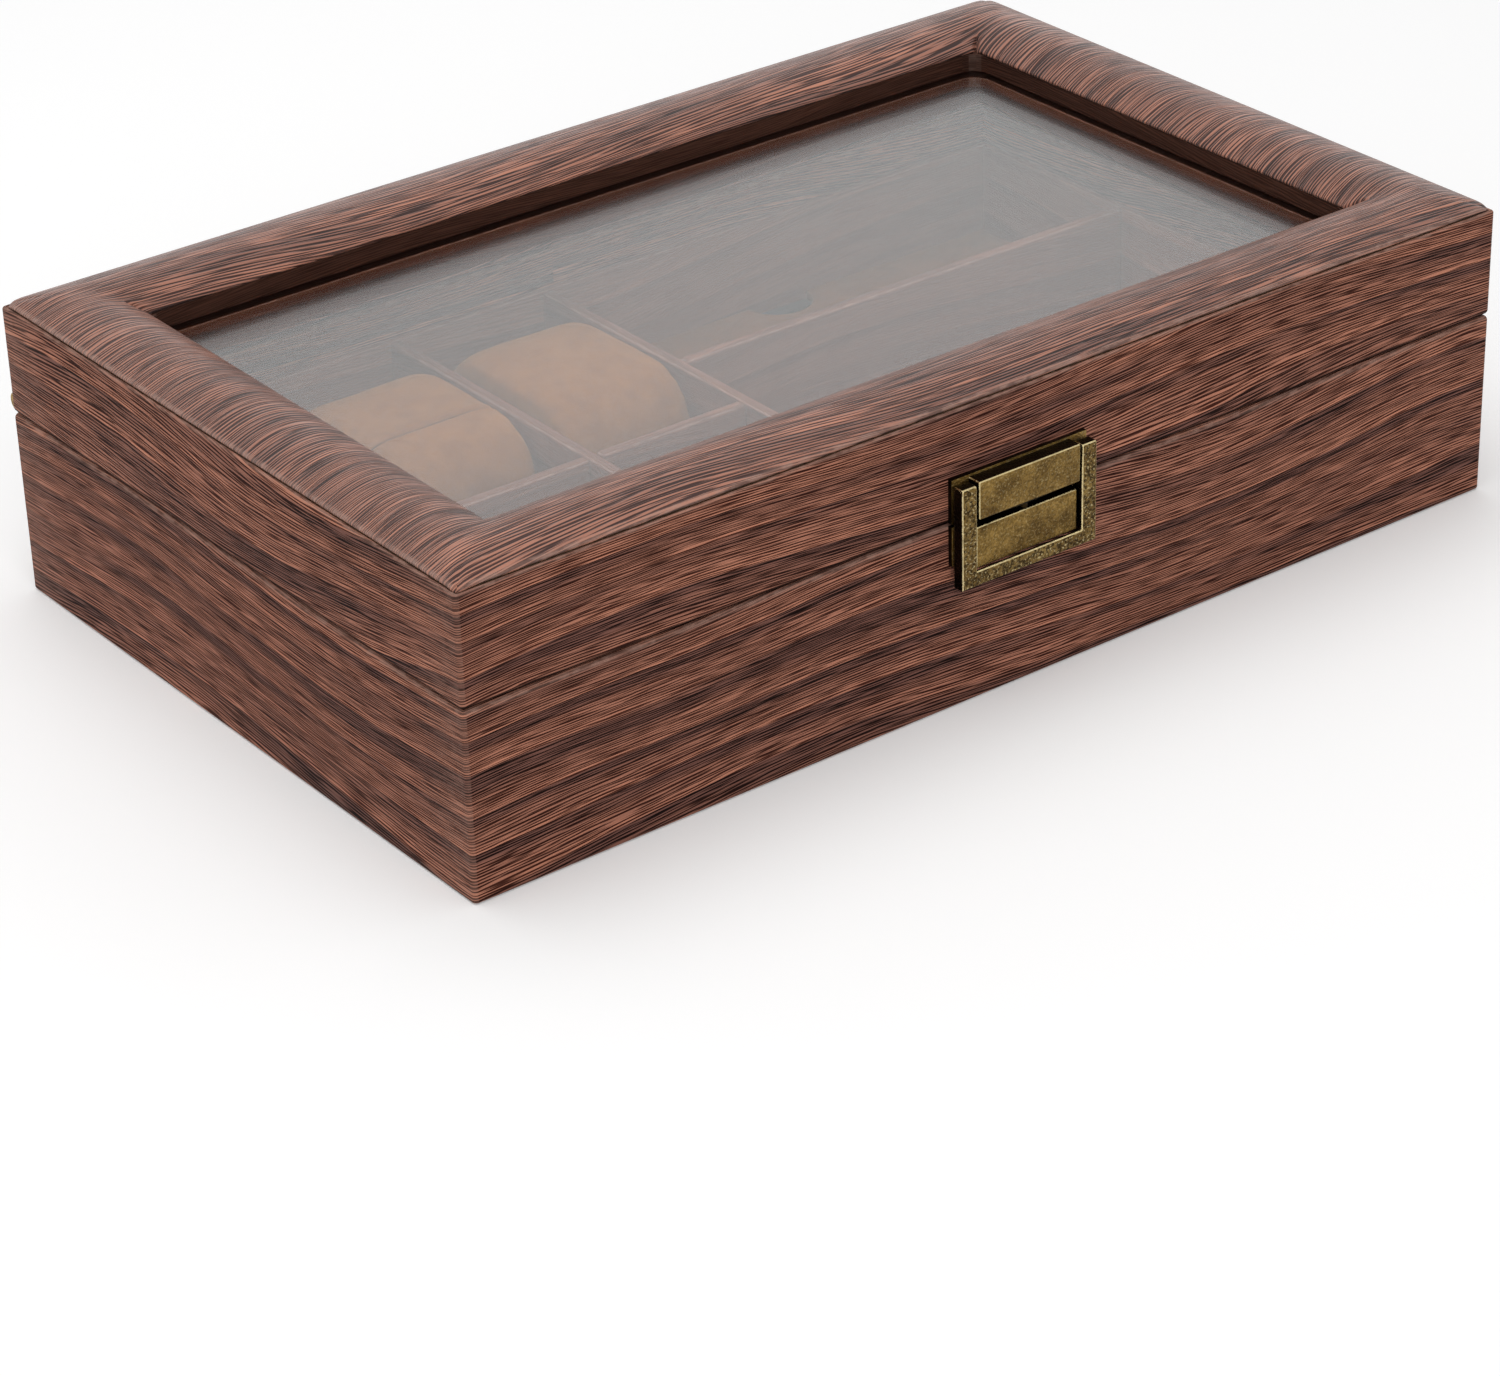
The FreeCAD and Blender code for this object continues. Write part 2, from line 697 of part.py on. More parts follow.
def lid_case():
    """Boards, wrap and liners of the lid."""
    wall_boards("lid", (lid_rim, pane_top), lid_recess, 1, lid_low,
                (lid_low, axis_z + stay_depth), lid_nail_z)
    frame = block("top_board_blank", both(core_x), both(core_y), (pane_top, top_board_top))
    opening = block("top_board_opening", both(window_x + reveal), both(window_y + reveal),
                    (pane_top - OVERRUN, top_board_top + OVERRUN))
    node("lid_top_board", carve("top_board", frame, opening))
    wrap("lid", (lid_low, seam), (lid_rim, seam + OVERRUN), (lid_low - OVERRUN, lid_rim + OVERRUN),
         (lid_rim, lid_low + turned_in), lid_recess, lid_nail_z, lid_low.value)
    liners("lid", (lid_low + lid_liner_drop, retainer_low))


def lid_padding():
    """Padded roll on the lid frame: a leatherette cover bowed over foam, with a nose over the window."""
    outer_end = half_x - roll_edge
    inner_end = window_x - nose_reach
    tuck = window_x + reveal
    foot = seam + roll_foot
    nose = seam + nose_top
    under = seam - nose_under
    crest = (half_x - crest_inset, seam + crown)
    cover = [(outer_end, foot), (inner_end, nose), (inner_end, under), (tuck, under),
             (tuck, under + skin), (inner_end + skin, under + skin), (inner_end + skin, nose),
             (outer_end - skin * 2, foot)]
    bow = {0: crest, 6: (crest[0], crest[1] - skin)}
    node("lid_top_cover", frame_sweep("top_cover", cover, bow))
    foam_nose = inner_end + skin + foam_play
    foam_top = (crest[0], crest[1] - skin - foam_play)
    foam_edge = outer_end - skin * 2 - foam_play
    foam = [(foam_edge, foot), (foam_nose, nose - foam_play), (foam_nose, under + skin + foam_play),
            (tuck + foam_play, under + skin + foam_play), (tuck + foam_play, top_board_top),
            (foam_edge, top_board_top)]
    node("lid_top_foam", frame_sweep("top_foam", foam, {0: foam_top}))


def upright(edge):
    """Whether an edge stands upright."""
    return runs_along(edge, AXIS_Z)


def window():
    """Glass pane between the reveal strip above it and the rebated retainer below it."""
    body = doc.addObject("PartDesign::Body", "pane_body")
    outline = body_sketch(body, "XY_Plane", "pane_outline", pane_low)
    sketch_outline(outline, rectangle(both(window_x + pane_lap), both(window_y + pane_lap)))
    pad(body, "pane_sheet", outline, pane)
    round_body(body, "pane_corners", pane_round, upright)
    node("window_pane", body)

    reveal_top = seam - reveal_drop
    outside = reveal - frame_play
    strip = block("reveal_blank", both(window_x + outside), both(window_y + outside), (pane_top, reveal_top))
    hole = block("reveal_hole", both(window_x), both(window_y), (pane_top - OVERRUN, reveal_top + OVERRUN))
    light = soften("reveal_light", hole, window_round, upright)
    node("window_reveal", carve("reveal", strip, light))

    ring = block("retainer_blank", both(room_x - frame_play), both(room_y - frame_play),
                 (retainer_low, pane_top))
    hole = block("retainer_hole", both(window_x), both(window_y),
                 (retainer_low - OVERRUN, pane_top + OVERRUN))
    light = soften("retainer_light", hole, window_round, upright)
    lap = pane_lap + pane_play
    rebate = block("retainer_rebate", both(window_x + lap), both(window_y + lap),
                   (pane_low, pane_top + OVERRUN))
    node("window_retainer", carve("retainer", ring, light, rebate))


outer_knuckle_end = leaf_out_x - barrel_inset
outer_knuckle_start = outer_knuckle_end - base_knuckle
lid_knuckle_end = outer_knuckle_start - knuckle_gap
lid_knuckle_start = lid_knuckle_end - lid_knuckle
inner_knuckle_end = lid_knuckle_start - knuckle_gap
inner_knuckle_start = inner_knuckle_end - base_knuckle
BASE_KNUCKLES = [(outer_knuckle_start, outer_knuckle_end), (inner_knuckle_start, inner_knuckle_end)]
LID_KNUCKLES = [(lid_knuckle_start, lid_knuckle_end)]


def hinge_leaf(label, side, z, knuckles, level, up):
    """L-shaped leaf in the rim, with its knuckles behind the back face and a slot for the stay."""
    pieces = [
        block(f"{label}_side", on_side(side, leaf_in_x, leaf_out_x), (leg_front_y, half_y), z),
        block(f"{label}_back", on_side(side, leg_inner_x, leaf_out_x), (leaf_in_y, half_y), z),
    ]
    for index, (start, end) in enumerate(knuckles):
        span = on_side(side, start, end)
        pieces.append(block(f"{label}_tab_{index}", span, (half_y, axis_y), z))
        pieces.append(rod(f"{label}_knuckle_{index}", "x", span, (axis_y, axis_z), knuckle_radius))
    barrel = on_side(side, inner_knuckle_start - OVERRUN, outer_knuckle_end + OVERRUN)
    cuts = [rod(f"{label}_bore", "x", barrel, (axis_y, axis_z), pin_radius + pin_play)]
    half_slot = stay_thick / 2 + stay_play
    half_run = stay_width / 2 + stay_play
    cuts.append(block(f"{label}_slot", on_side(side, leaf_mid_x - half_slot, leaf_mid_x + half_slot),
                      (axis_y - stay_reach - half_run, axis_y - stay_reach + half_run),
                      (z[0] - OVERRUN, z[1] + OVERRUN)))
    cuts += screws(f"{label}_countersink", level, up, screw_play, (side,))
    node(label, carve(f"{label}_cut", weld(f"{label}_whole", *pieces), *cuts))


def stay(label, side):
    """Curved arm about the hinge axis, with a round head in each board's slot."""
    half_arm = stay_thick / 2
    start_turn = Rotation(AXIS_X, 180 - stay_half.value) * Rotation(Vector(1, 1, 1), 120)
    rings = []
    for tag, radius, extra in (("outer", stay_reach + stay_width / 2, 0),
                               ("inner", stay_reach - stay_width / 2, OVERRUN)):
        ring = doc.addObject("Part::Cylinder", f"{label}_{tag}")
        ring.Placement = Placement(Vector(), start_turn)
        bind(ring, "Radius", radius)
        bind(ring, "Height", stay_thick + extra * 2)
        bind(ring, "Placement.Base.x", leaf_mid_x * side - half_arm - extra)
        bind(ring, "Placement.Base.y", axis_y)
        bind(ring, "Placement.Base.z", axis_z)
        rings.append(ring)
    bind(rings[0], "Angle", stay_half * 2)
    pieces = [carve(f"{label}_arm", *rings)]
    for tag, up in (("low", -1), ("high", 1)):
        across = (axis_y - stay_reach * cosine(stay_half), axis_z + stay_reach * sine(stay_half) * up)
        head = both(stay_head_width / 2)
        span = (leaf_mid_x * side + head[0], leaf_mid_x * side + head[1])
        pieces.append(rod(f"{label}_head_{tag}", "x", span, across, stay_head_radius))
    node(label, weld(f"{label}_whole", *pieces))


def hinges():
    """Two quadrant hinges at the back corners, with their pins, screws and stays."""
    pins = []
    for name, side in HINGE_SIDES.items():
        hinge_leaf(f"hinge_base_leaf_{name}", side, (base_rise - leaf, base_rise), BASE_KNUCKLES,
                   base_rise, -1)
        hinge_leaf(f"hinge_lid_leaf_{name}", side, (lid_low, lid_low + leaf), LID_KNUCKLES, lid_low, 1)
        stay(f"hinge_stay_{name}", side)
        span = on_side(side, inner_knuckle_start - pin_proud, outer_knuckle_end + pin_proud)
        pins.append(rod(f"hinge_pin_{name}", "x", span, (axis_y, axis_z), pin_radius))
    node("hinge_pins", group("hinge_pins", pins))
    node("hinge_base_screws", group("base_screws", screws("base_screw", base_rise, -1, 0)))
    node("hinge_lid_screws", group("lid_screws", screws("lid_screw", lid_low, 1, 0)))


def latch_half(prefix, bar_z, plate_z, front):
    """Casting of one half of the latch: a plate on the wall and a bar that stands off it."""
    bar = block(f"{prefix}_bar_blank", both(bar_width / 2), (front, -half_y - latch_plate), bar_z)
    face = front.value
    eased = soften(f"{prefix}_bar_eased", bar, cast_round,
                   lambda edge: lies_at(edge, AXIS_Y, face) or runs_along(edge, AXIS_Y))
    plate = block(f"{prefix}_plate_blank", both(latch_width / 2), (-half_y - latch_plate, -half_y), plate_z)
    return weld(f"{prefix}_casting", eased, plate)


def latch():
    """Flip latch: a bar on the lid, a block on the base and the bail that swings on the bar."""
    arm_in = latch_width / 2 - bail_arm
    pin_in = bar_width / 2 - bail_pin_depth
    pin_out = latch_width / 2 - bail_pin_cover
    pivot = (bail_pivot_y, bail_pivot_z)
    sides = {"right": 1, "left": -1}

    peg_place = (as_size(0), peg_y)
    bar = latch_half("latch_lid", (lid_bar_low, lid_bar_top), (lid_bar_low, lid_bar_top + plate_inset),
                     latch_front)
    cuts = nails("lid_plate_hole", lid_nail_z, press_play)
    cuts.append(rod("peg_socket", "z", (lid_bar_low - OVERRUN, lid_bar_low + peg_rise + peg_play),
                    peg_place, peg_radius + peg_play))
    for name, side in sides.items():
        bore = on_side(side, pin_in - pin_play, bar_width / 2 + OVERRUN)
        cuts.append(rod(f"bail_bore_{name}", "x", bore, pivot, bail_pin_radius + pin_play))
    node("latch_lid_bar", carve("latch_lid_bar", bar, *cuts))
    node("latch_lid_nails", group("latch_lid_nails", nails("lid_nail", lid_nail_z, 0)))

    casting = latch_half("latch_base", (base_bar_low, base_bar_top),
                         (base_bar_low + plate_inset, base_bar_top), block_front)
    cuts = nails("base_plate_hole", base_nail_z, press_play)
    cuts.append(rod("peg_seat", "z", (base_bar_top - peg_root, base_bar_top + OVERRUN), peg_place,
                    peg_radius + press_play))
    node("latch_base_block", carve("latch_base_block", casting, *cuts))
    node("latch_base_nails", group("latch_base_nails", nails("base_nail", base_nail_z, 0)))
    node("latch_peg", rod("latch_peg", "z", (base_bar_top - peg_root, base_bar_top + peg_rise), peg_place,
                          peg_radius))

    depth_span = (latch_front, bail_back)
    lip_span = (latch_front, latch_front + bail_lip)
    pieces = [block("bail_lip", both(latch_width / 2), lip_span, (bail_low, bail_low + bail_bar))]
    holes = []
    pins = []
    for name, side in sides.items():
        across = on_side(side, arm_in, latch_width / 2)
        pieces.append(block(f"bail_arm_{name}", across, depth_span, (bail_low, bail_pivot_z)))
        pieces.append(rod(f"bail_eye_{name}", "x", across, pivot, bail_depth / 2))
        hole = on_side(side, arm_in - OVERRUN, pin_out + press_play)
        holes.append(rod(f"bail_hole_{name}", "x", hole, pivot, bail_pin_radius + press_play))
        pins.append(rod(f"bail_pin_{name}", "x", on_side(side, pin_in, pin_out), pivot, bail_pin_radius))
    whole = weld("bail_whole", *pieces)
    whole.Refine = True
    face = latch_front.value
    eased = soften("bail_eased", whole, cast_round, lambda edge: lies_at(edge, AXIS_Y, face))
    node("latch_bail", carve("latch_bail", eased, *holes))
    node("bail_pivot_pins", group("bail_pivot_pins", pins))


def write_parts():
    """Check every object, then write each node to its own file."""
    doc.recompute()
    for thing in doc.Objects:
        if "Invalid" in thing.State or "Error" in thing.State:
            raise RuntimeError(f"{thing.Name} failed: {thing.State}")
    for thing in nodes:
        if thing.Shape.isNull() or not thing.Shape.isValid() or not thing.Shape.Solids:
            raise RuntimeError(f"{thing.Label} has no sound solid")
    os.makedirs("parts", exist_ok=True)
    for thing in nodes:
        thing.Shape.exportStep(f"parts/{thing.Label}.step")
        print(f"{thing.Label}: {len(thing.Shape.Solids)} solids, {thing.Shape.Volume:.1f} mm3")


base_case()
dividers()
glasses_panels()
watch_pillows()
lid_case()
lid_padding()
window()
hinges()
latch()
write_parts()
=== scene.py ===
import json
import math

import bmesh
import bpy
import numpy as np
from mathutils import Matrix, Vector, noise

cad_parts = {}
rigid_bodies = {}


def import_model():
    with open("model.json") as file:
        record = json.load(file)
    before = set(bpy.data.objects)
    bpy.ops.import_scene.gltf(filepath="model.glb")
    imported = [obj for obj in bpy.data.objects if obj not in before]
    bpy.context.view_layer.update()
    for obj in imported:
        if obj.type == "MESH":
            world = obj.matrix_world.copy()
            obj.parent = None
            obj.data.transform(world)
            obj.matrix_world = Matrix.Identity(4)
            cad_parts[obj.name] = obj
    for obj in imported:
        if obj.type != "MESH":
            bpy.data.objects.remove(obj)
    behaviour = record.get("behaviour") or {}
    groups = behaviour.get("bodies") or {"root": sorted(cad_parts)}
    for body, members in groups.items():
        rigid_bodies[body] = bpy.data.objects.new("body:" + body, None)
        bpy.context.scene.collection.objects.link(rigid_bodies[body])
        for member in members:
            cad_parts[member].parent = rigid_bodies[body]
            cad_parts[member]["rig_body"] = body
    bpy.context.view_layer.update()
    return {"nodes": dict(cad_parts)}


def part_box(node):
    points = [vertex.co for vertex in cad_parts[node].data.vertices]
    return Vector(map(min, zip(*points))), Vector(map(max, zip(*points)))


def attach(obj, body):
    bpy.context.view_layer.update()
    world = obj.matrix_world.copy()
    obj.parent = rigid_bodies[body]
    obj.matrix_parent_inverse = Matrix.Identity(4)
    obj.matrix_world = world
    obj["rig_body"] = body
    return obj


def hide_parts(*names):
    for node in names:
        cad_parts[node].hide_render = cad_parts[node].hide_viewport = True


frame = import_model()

# Looks of the watch box: grained leatherette, a padded lid frame round a glass pane, suede pillows,
# velvet glasses panels and cast brass fittings, built round the fixed frame in metres.
MM = 0.001


def tone(red, green, blue):
    """Linear colour from a swatch read as 0 to 255."""
    shares = [part / 255 for part in (red, green, blue)]
    return tuple(c / 12.92 if c <= 0.04045 else ((c + 0.055) / 1.055) ** 2.4 for c in shares) + (1.0,)


class Wiring:
    """Short hand for adding and joining the nodes of one tree."""

    def __init__(self, tree):
        self.tree = tree

    def feed(self, socket, value):
        if isinstance(value, bpy.types.NodeSocket):
            self.tree.links.new(value, socket)
        else:
            socket.default_value = value

    def fill(self, node, inputs):
        """Feed several inputs of a node, by name or by number."""
        for key, value in inputs.items():
            self.feed(node.inputs[key], value)

    def add(self, kind, inputs=None, **settings):
        node = self.tree.nodes.new(kind)
        for key, value in settings.items():
            setattr(node, key, value)
        self.fill(node, inputs or {})
        return node

    def place(self):
        """Place on the piece, in the shared frame."""
        return self.add("ShaderNodeTexCoord").outputs["Object"]

    def mark(self, name):
        """Mark stored in the piece's mesh, nought where there is none."""
        return self.add("ShaderNodeAttribute", attribute_name=name).outputs["Fac"]

    def math(self, operation, *values):
        return self.add("ShaderNodeMath", dict(enumerate(values)), operation=operation).outputs[0]

    def ease(self, value, low, high, start=0.0, end=1.0):
        """Smooth step of a value from low to high."""
        return self.stretch(value, low, high, start, end, "SMOOTHSTEP")

    def stretch(self, value, low, high, start, end, way="LINEAR"):
        """Change of a value's range, straight unless another way is given."""
        amounts = dict(enumerate((value, low, high, start, end)))
        return self.add("ShaderNodeMapRange", amounts, interpolation_type=way).outputs[0]

    def combine(self, x, y, z):
        return self.add("ShaderNodeCombineXYZ", {0: x, 1: y, 2: z}).outputs[0]

    def split(self, vector):
        return self.add("ShaderNodeSeparateXYZ", {0: vector}).outputs

    def cloud(self, vector, scale, detail=2.0, roughness=0.5):
        """Soft noise about 0.5."""
        inputs = {"Vector": vector, "Scale": scale, "Detail": detail, "Roughness": roughness}
        return self.add("ShaderNodeTexNoise", inputs).outputs[0]

    def blend(self, share, first, second):
        """Colour between two colours."""
        return self.add("ShaderNodeMix", {0: share, 6: first, 7: second}, data_type="RGBA").outputs[2]

    def relief(self, height, strength, depth):
        """Normal from a height."""
        inputs = {"Height": height, "Strength": strength, "Distance": depth}
        return self.add("ShaderNodeBump", inputs).outputs[0]


def new_finish(name):
    """Empty material with one principled shader."""
    finish = bpy.data.materials.new(name)
    finish.use_nodes = True
    finish.node_tree.nodes.clear()
    wires = Wiring(finish.node_tree)
    shader = wires.add("ShaderNodeBsdfPrincipled")
    wires.add("ShaderNodeOutputMaterial", {"Surface": shader.outputs[0]})
    return finish, wires, shader


def grained_leatherette(name, bend=1.11, sheen=0.0, depth=1.0, contrast=1.0, rings=1.0, gloss=0.4,
                        emboss=0.2, coarse=1.2):
    """Brown leatherette embossed with wood grain, laid along the piece's own grain map. Lengths and widths
    of the grain are in millimetres."""
    ring_pitch, fibre_pitch = 10.5, 0.62 * coarse
    finish, wires, shader = new_finish(name)
    flat = wires.add("ShaderNodeUVMap", uv_map="grain").outputs[0]
    along, across, _ = wires.split(flat)
    along = wires.math("MULTIPLY", along, 1 / MM)
    across = wires.math("MULTIPLY", across, 1 / MM)

    def grain(run, width, line, layer, detail=0.0):
        """Noise drawn out along the grain, with its run, its width and a layer of its own."""
        place = wires.combine(wires.math("DIVIDE", along, run), wires.math("DIVIDE", line, width), layer)
        return wires.cloud(place, 1.0, detail, 0.55)

    def strayed(line, run, width, layer, far):
        """Line that strays to either side of its way by up to half of far."""
        stray = wires.math("SUBTRACT", grain(run, width, across, layer), 0.5)
        return wires.math("MULTIPLY_ADD", stray, far, line)

    def brown(red, green, blue):
        """Swatch darkened by this leatherette's depth, which on a shaded copy paints shade."""
        return tone(red * depth, green * depth, blue * depth)

    # Growth rings lie in long slow waves; each darkens up to a sharp line and starts again with a pale rim
    lie = strayed(across, run=150.0, width=60.0, layer=3.1, far=28.0)
    lie = strayed(lie, run=60.0, width=14.0, layer=8.7, far=2.0)
    uneven = strayed(lie, run=320.0, width=13.0, layer=15.2, far=9.0)
    ring = wires.math("FRACT", wires.math("DIVIDE", uneven, ring_pitch))
    firm = wires.ease(grain(120.0, 9.0, uneven, 17.0, 1.0), 0.36, 0.64, 0.2, 1.0)
    dusk = wires.math("MULTIPLY", wires.ease(ring, 0.3, 0.95), wires.ease(ring, 1.0, 0.965))
    rim = wires.ease(ring, 0.2, 0.0)
    marks = wires.math("MULTIPLY_ADD", rim, 0.6 * rings, wires.math("MULTIPLY", dusk, -0.95 * rings))
    clouds = wires.stretch(grain(70.0, 11.0, lie, 12.6, 2.0), 0.25, 0.75, 0.46, 0.8)
    streaks = wires.stretch(grain(55.0, 1.5, lie, 41.0, 1.0), 0.3, 0.7, -0.15 * rings, 0.15 * rings)
    shade = wires.math("ADD", wires.math("MULTIPLY_ADD", marks, firm, clouds), streaks)

    # Fine embossed fibres with dark gaps between them, side by side and broken every centimetre or so
    straight = wires.math("DIVIDE", lie, fibre_pitch)
    drift = wires.math("MULTIPLY_ADD", grain(24.0, 1.5, lie, 7.4), 1.6, straight)
    ridges = wires.math("SINE", wires.math("MULTIPLY", drift, 2 * math.pi))
    dashes = wires.math("MULTIPLY", grain(9.0 * coarse, 0.2 * coarse, lie, 5.9, 0.5), 0.8)
    dashes = wires.math("MULTIPLY_ADD", grain(22.0 * coarse, 0.4 * coarse, lie, 26.0, 0.5), 0.2, dashes)
    fibres = wires.math("MULTIPLY_ADD", ridges, 0.13, dashes)
    fibres = wires.ease(fibres, 0.41, 0.59, 0.5 - 0.5 * contrast, 0.5 + 0.5 * contrast)
    gaps = wires.blend(shade, brown(20, 7, 5), brown(66, 32, 23))
    tops = wires.blend(shade, brown(119, 81, 71), brown(194, 131, 106))
    colour = wires.blend(fibres, gaps, tops)

    # Turned edges are worn paler and carry a painted highlight, and the edge of the lid's rim is painted
    # dark as shade in the parting groove
    patchy = wires.ease(grain(4.0, 2.0, across, 31.0, 2.0), 0.4, 0.62, 0.3, 0.75)
    worn_and_highlit = wires.math("MULTIPLY", wires.mark("rubbed"), patchy)
    colour = wires.blend(worn_and_highlit, colour, brown(168, 132, 118))
    colour = wires.blend(wires.mark("painted_shade"), colour, brown(20, 9, 7))
    wires.fill(shader, {
        "Base Color": colour, "Roughness": wires.stretch(fibres, 0.0, 1.0, gloss + 0.14, gloss),
        "IOR": bend, "Sheen Weight": sheen, "Sheen Roughness": 0.4,
        "Normal": wires.relief(fibres, 0.8, emboss * MM)})
    return finish


def suede(name, dark, mid, light):
    """Brushed suede or velvet: clouded nap with a fine pile."""
    finish, wires, shader = new_finish(name)
    place = wires.place()
    brushed = wires.ease(wires.cloud(place, 95.0, 4.0, 0.6), 0.25, 0.75)
    marks = wires.ease(wires.cloud(place, 260.0, 3.0, 0.6), 0.3, 0.75)
    pile = wires.cloud(place, 2600.0, 2.0, 0.6)
    colour = wires.blend(brushed, dark, mid)
    colour = wires.blend(wires.math("MULTIPLY", marks, 0.45), colour, light)
    colour = wires.blend(wires.ease(pile, 0.3, 0.7, 0.35, 0.0), colour, dark)
    colour = wires.blend(wires.mark("joint"), colour, tone(38, 20, 8))
    height = wires.math("MULTIPLY_ADD", marks, 0.6, pile)
    wires.fill(shader, {
        "Base Color": colour, "Roughness": wires.stretch(brushed, 0.0, 1.0, 0.95, 0.82),
        "Specular IOR Level": 0.2, "Sheen Weight": 0.15, "Sheen Roughness": 0.5,
        "Sheen Tint": tone(255, 214, 160), "Normal": wires.relief(height, 0.4, 0.18 * MM)})
    return finish


def brass(name, dark, mid, rubbed, grit, pitting):
    """Old brass: blackened where marked, partly as patina and partly as painted shade, brushed clear on its
    face, and rubbed bright along its edges as wear with a painted highlight.
    """
    finish, wires, shader = new_finish(name)
    place = wires.place()
    pits = wires.ease(wires.cloud(place, grit, 2.0, 0.6), 0.36, 0.6)
    glints = wires.ease(wires.cloud(place, grit * 1.3, 1.0), 0.56, 0.72)
    clouds = wires.ease(wires.cloud(place, grit * 0.09, 3.0, 0.6), 0.3, 0.7)
    colour = wires.blend(clouds, dark, mid)
    colour = wires.blend(wires.math("MULTIPLY_ADD", pits, -pitting, pitting), colour, tone(44, 33, 16))
    colour = wires.blend(wires.math("MULTIPLY", glints, 0.7 * pitting), colour, rubbed)
    black = wires.blend(clouds, tone(16, 12, 7), tone(40, 30, 17))
    # Marked faces go black: patina, and painted shade in the gap between the lid bar and the base block
    colour = wires.blend(wires.mark("black_patina_and_shade"), colour, black)
    patchy = wires.ease(wires.cloud(place, grit * 0.2, 2.0), 0.25, 0.5, 0.55, 0.95)
    # Marked edges are worn bright and carry a painted highlight
    worn_and_highlit = wires.math("MULTIPLY", wires.mark("rubbed"), patchy)
    rough = wires.stretch(pits, 0.0, 1.0, 0.6, 0.36)
    wires.fill(shader, {
        "Base Color": wires.blend(worn_and_highlit, colour, rubbed), "Metallic": 1.0,
        "Roughness": wires.math("MULTIPLY_ADD", worn_and_highlit, -0.12, rough),
        "Normal": wires.relief(pits, 0.3 + 0.4 * pitting, 0.15 * MM)})
    return finish


def clear_glass():
    """Clear pane with faint smears under a satin film, which dims the lamps as they pass."""
    finish, wires, shader = new_finish("window glass")
    smears = wires.ease(wires.cloud(wires.place(), 22.0, 3.0), 0.45, 0.75)
    wires.fill(shader, {
        "Base Color": tone(244, 245, 244), "Transmission Weight": 1.0, "IOR": 1.12,
        "Roughness": wires.math("MULTIPLY", smears, 0.004),
        "Coat Weight": 1.0, "Coat Roughness": 0.26, "Coat IOR": 1.62})
    open_way = wires.add("ShaderNodeBsdfTransparent", {"Color": tone(150, 150, 149)})
    lamp_ray = wires.add("ShaderNodeLightPath").outputs["Is Shadow Ray"]
    both = wires.add("ShaderNodeMixShader", {0: lamp_ray, 1: shader.outputs[0], 2: open_way.outputs[0]})
    end = next(node for node in finish.node_tree.nodes if node.type == "OUTPUT_MATERIAL")
    wires.feed(end.inputs["Surface"], both.outputs[0])
    return finish


def plain_stock(name, first, second, grit, depth, roughness):
    """Raw sheet stock out of sight: board, card, foam or felt."""
    finish, wires, shader = new_finish(name)
    flecks = wires.cloud(wires.place(), grit, 4.0, 0.65)
    wires.fill(shader, {
        "Base Color": wires.blend(wires.ease(flecks, 0.35, 0.65), first, second),
        "Roughness": wires.stretch(flecks, 0.3, 0.7, roughness, roughness - 0.12),
        "Normal": wires.relief(flecks, 0.4, depth)})
    return finish


finishes = {
    "leatherette": grained_leatherette("grained leatherette"),
    "padded leatherette": grained_leatherette("padded leatherette", bend=1.4, sheen=0.08, rings=0.45,
                                              gloss=0.28, emboss=0.4, coarse=1.6),
    "lining leatherette": grained_leatherette("lining leatherette", contrast=0.22, rings=0.3),
    # A copy darkened to 0.55 paints the shade under the roll's nose on the window reveal
    "shaded reveal leatherette": grained_leatherette("shaded reveal leatherette", depth=0.55, contrast=0.4, rings=0.3),
    "suede": suede("tan suede", tone(130, 76, 26), tone(152, 94, 36), tone(176, 116, 52)),
    "velvet": suede("tan velvet", tone(118, 68, 28), tone(140, 82, 38), tone(164, 104, 54)),
    "antique_brass": brass("aged brass", tone(92, 70, 34), tone(148, 119, 64), tone(208, 190, 142),
                           grit=1500.0, pitting=0.34),
    "cast brass": brass("cast brass", tone(100, 78, 40), tone(132, 108, 60), tone(214, 196, 148),
                        grit=1250.0, pitting=0.85),
    "dull brass": brass("dull brass", tone(26, 20, 11), tone(52, 40, 22), tone(110, 90, 54),
                        grit=1500.0, pitting=0.3),
    "hinge_brass": brass("hinge brass", tone(132, 104, 56), tone(172, 140, 80), tone(226, 204, 146),
                         grit=1500.0, pitting=0.3),
    "pane_glass": clear_glass(),
    "board": plain_stock("fibreboard", tone(150, 118, 84), tone(176, 144, 106),
                         grit=900.0, depth=0.1 * MM, roughness=0.9),
    "card": plain_stock("grey card", tone(44, 44, 43), tone(62, 61, 59),
                        grit=1400.0, depth=0.05 * MM, roughness=0.9),
    "underside": plain_stock("underside felt", tone(26, 23, 22), tone(48, 43, 40),
                             grit=2200.0, depth=0.25 * MM, roughness=0.97),
}


def new_piece(name, mesh):
    piece = bpy.data.objects.new(name, mesh)
    bpy.context.scene.collection.objects.link(piece)
    return piece


def finished_mesh(body, name):
    """New mesh from a working body, which is let go."""
    mesh = bpy.data.meshes.new(name)
    body.to_mesh(mesh)
    body.free()
    return mesh


def settle(piece):
    """Turn a piece with live modifiers into a plain mesh."""
    bpy.context.view_layer.update()
    seen = piece.evaluated_get(bpy.context.evaluated_depsgraph_get())
    plain = bpy.data.meshes.new_from_object(seen, preserve_all_data_layers=True,
                                            depsgraph=bpy.context.evaluated_depsgraph_get())
    piece.modifiers.clear()
    piece.data = plain


def smooth(mesh, angle=40):
    """Smooth shading that keeps edges sharper than an angle."""
    mesh.shade_smooth()
    mesh.set_sharp_from_angle(angle=math.radians(angle))


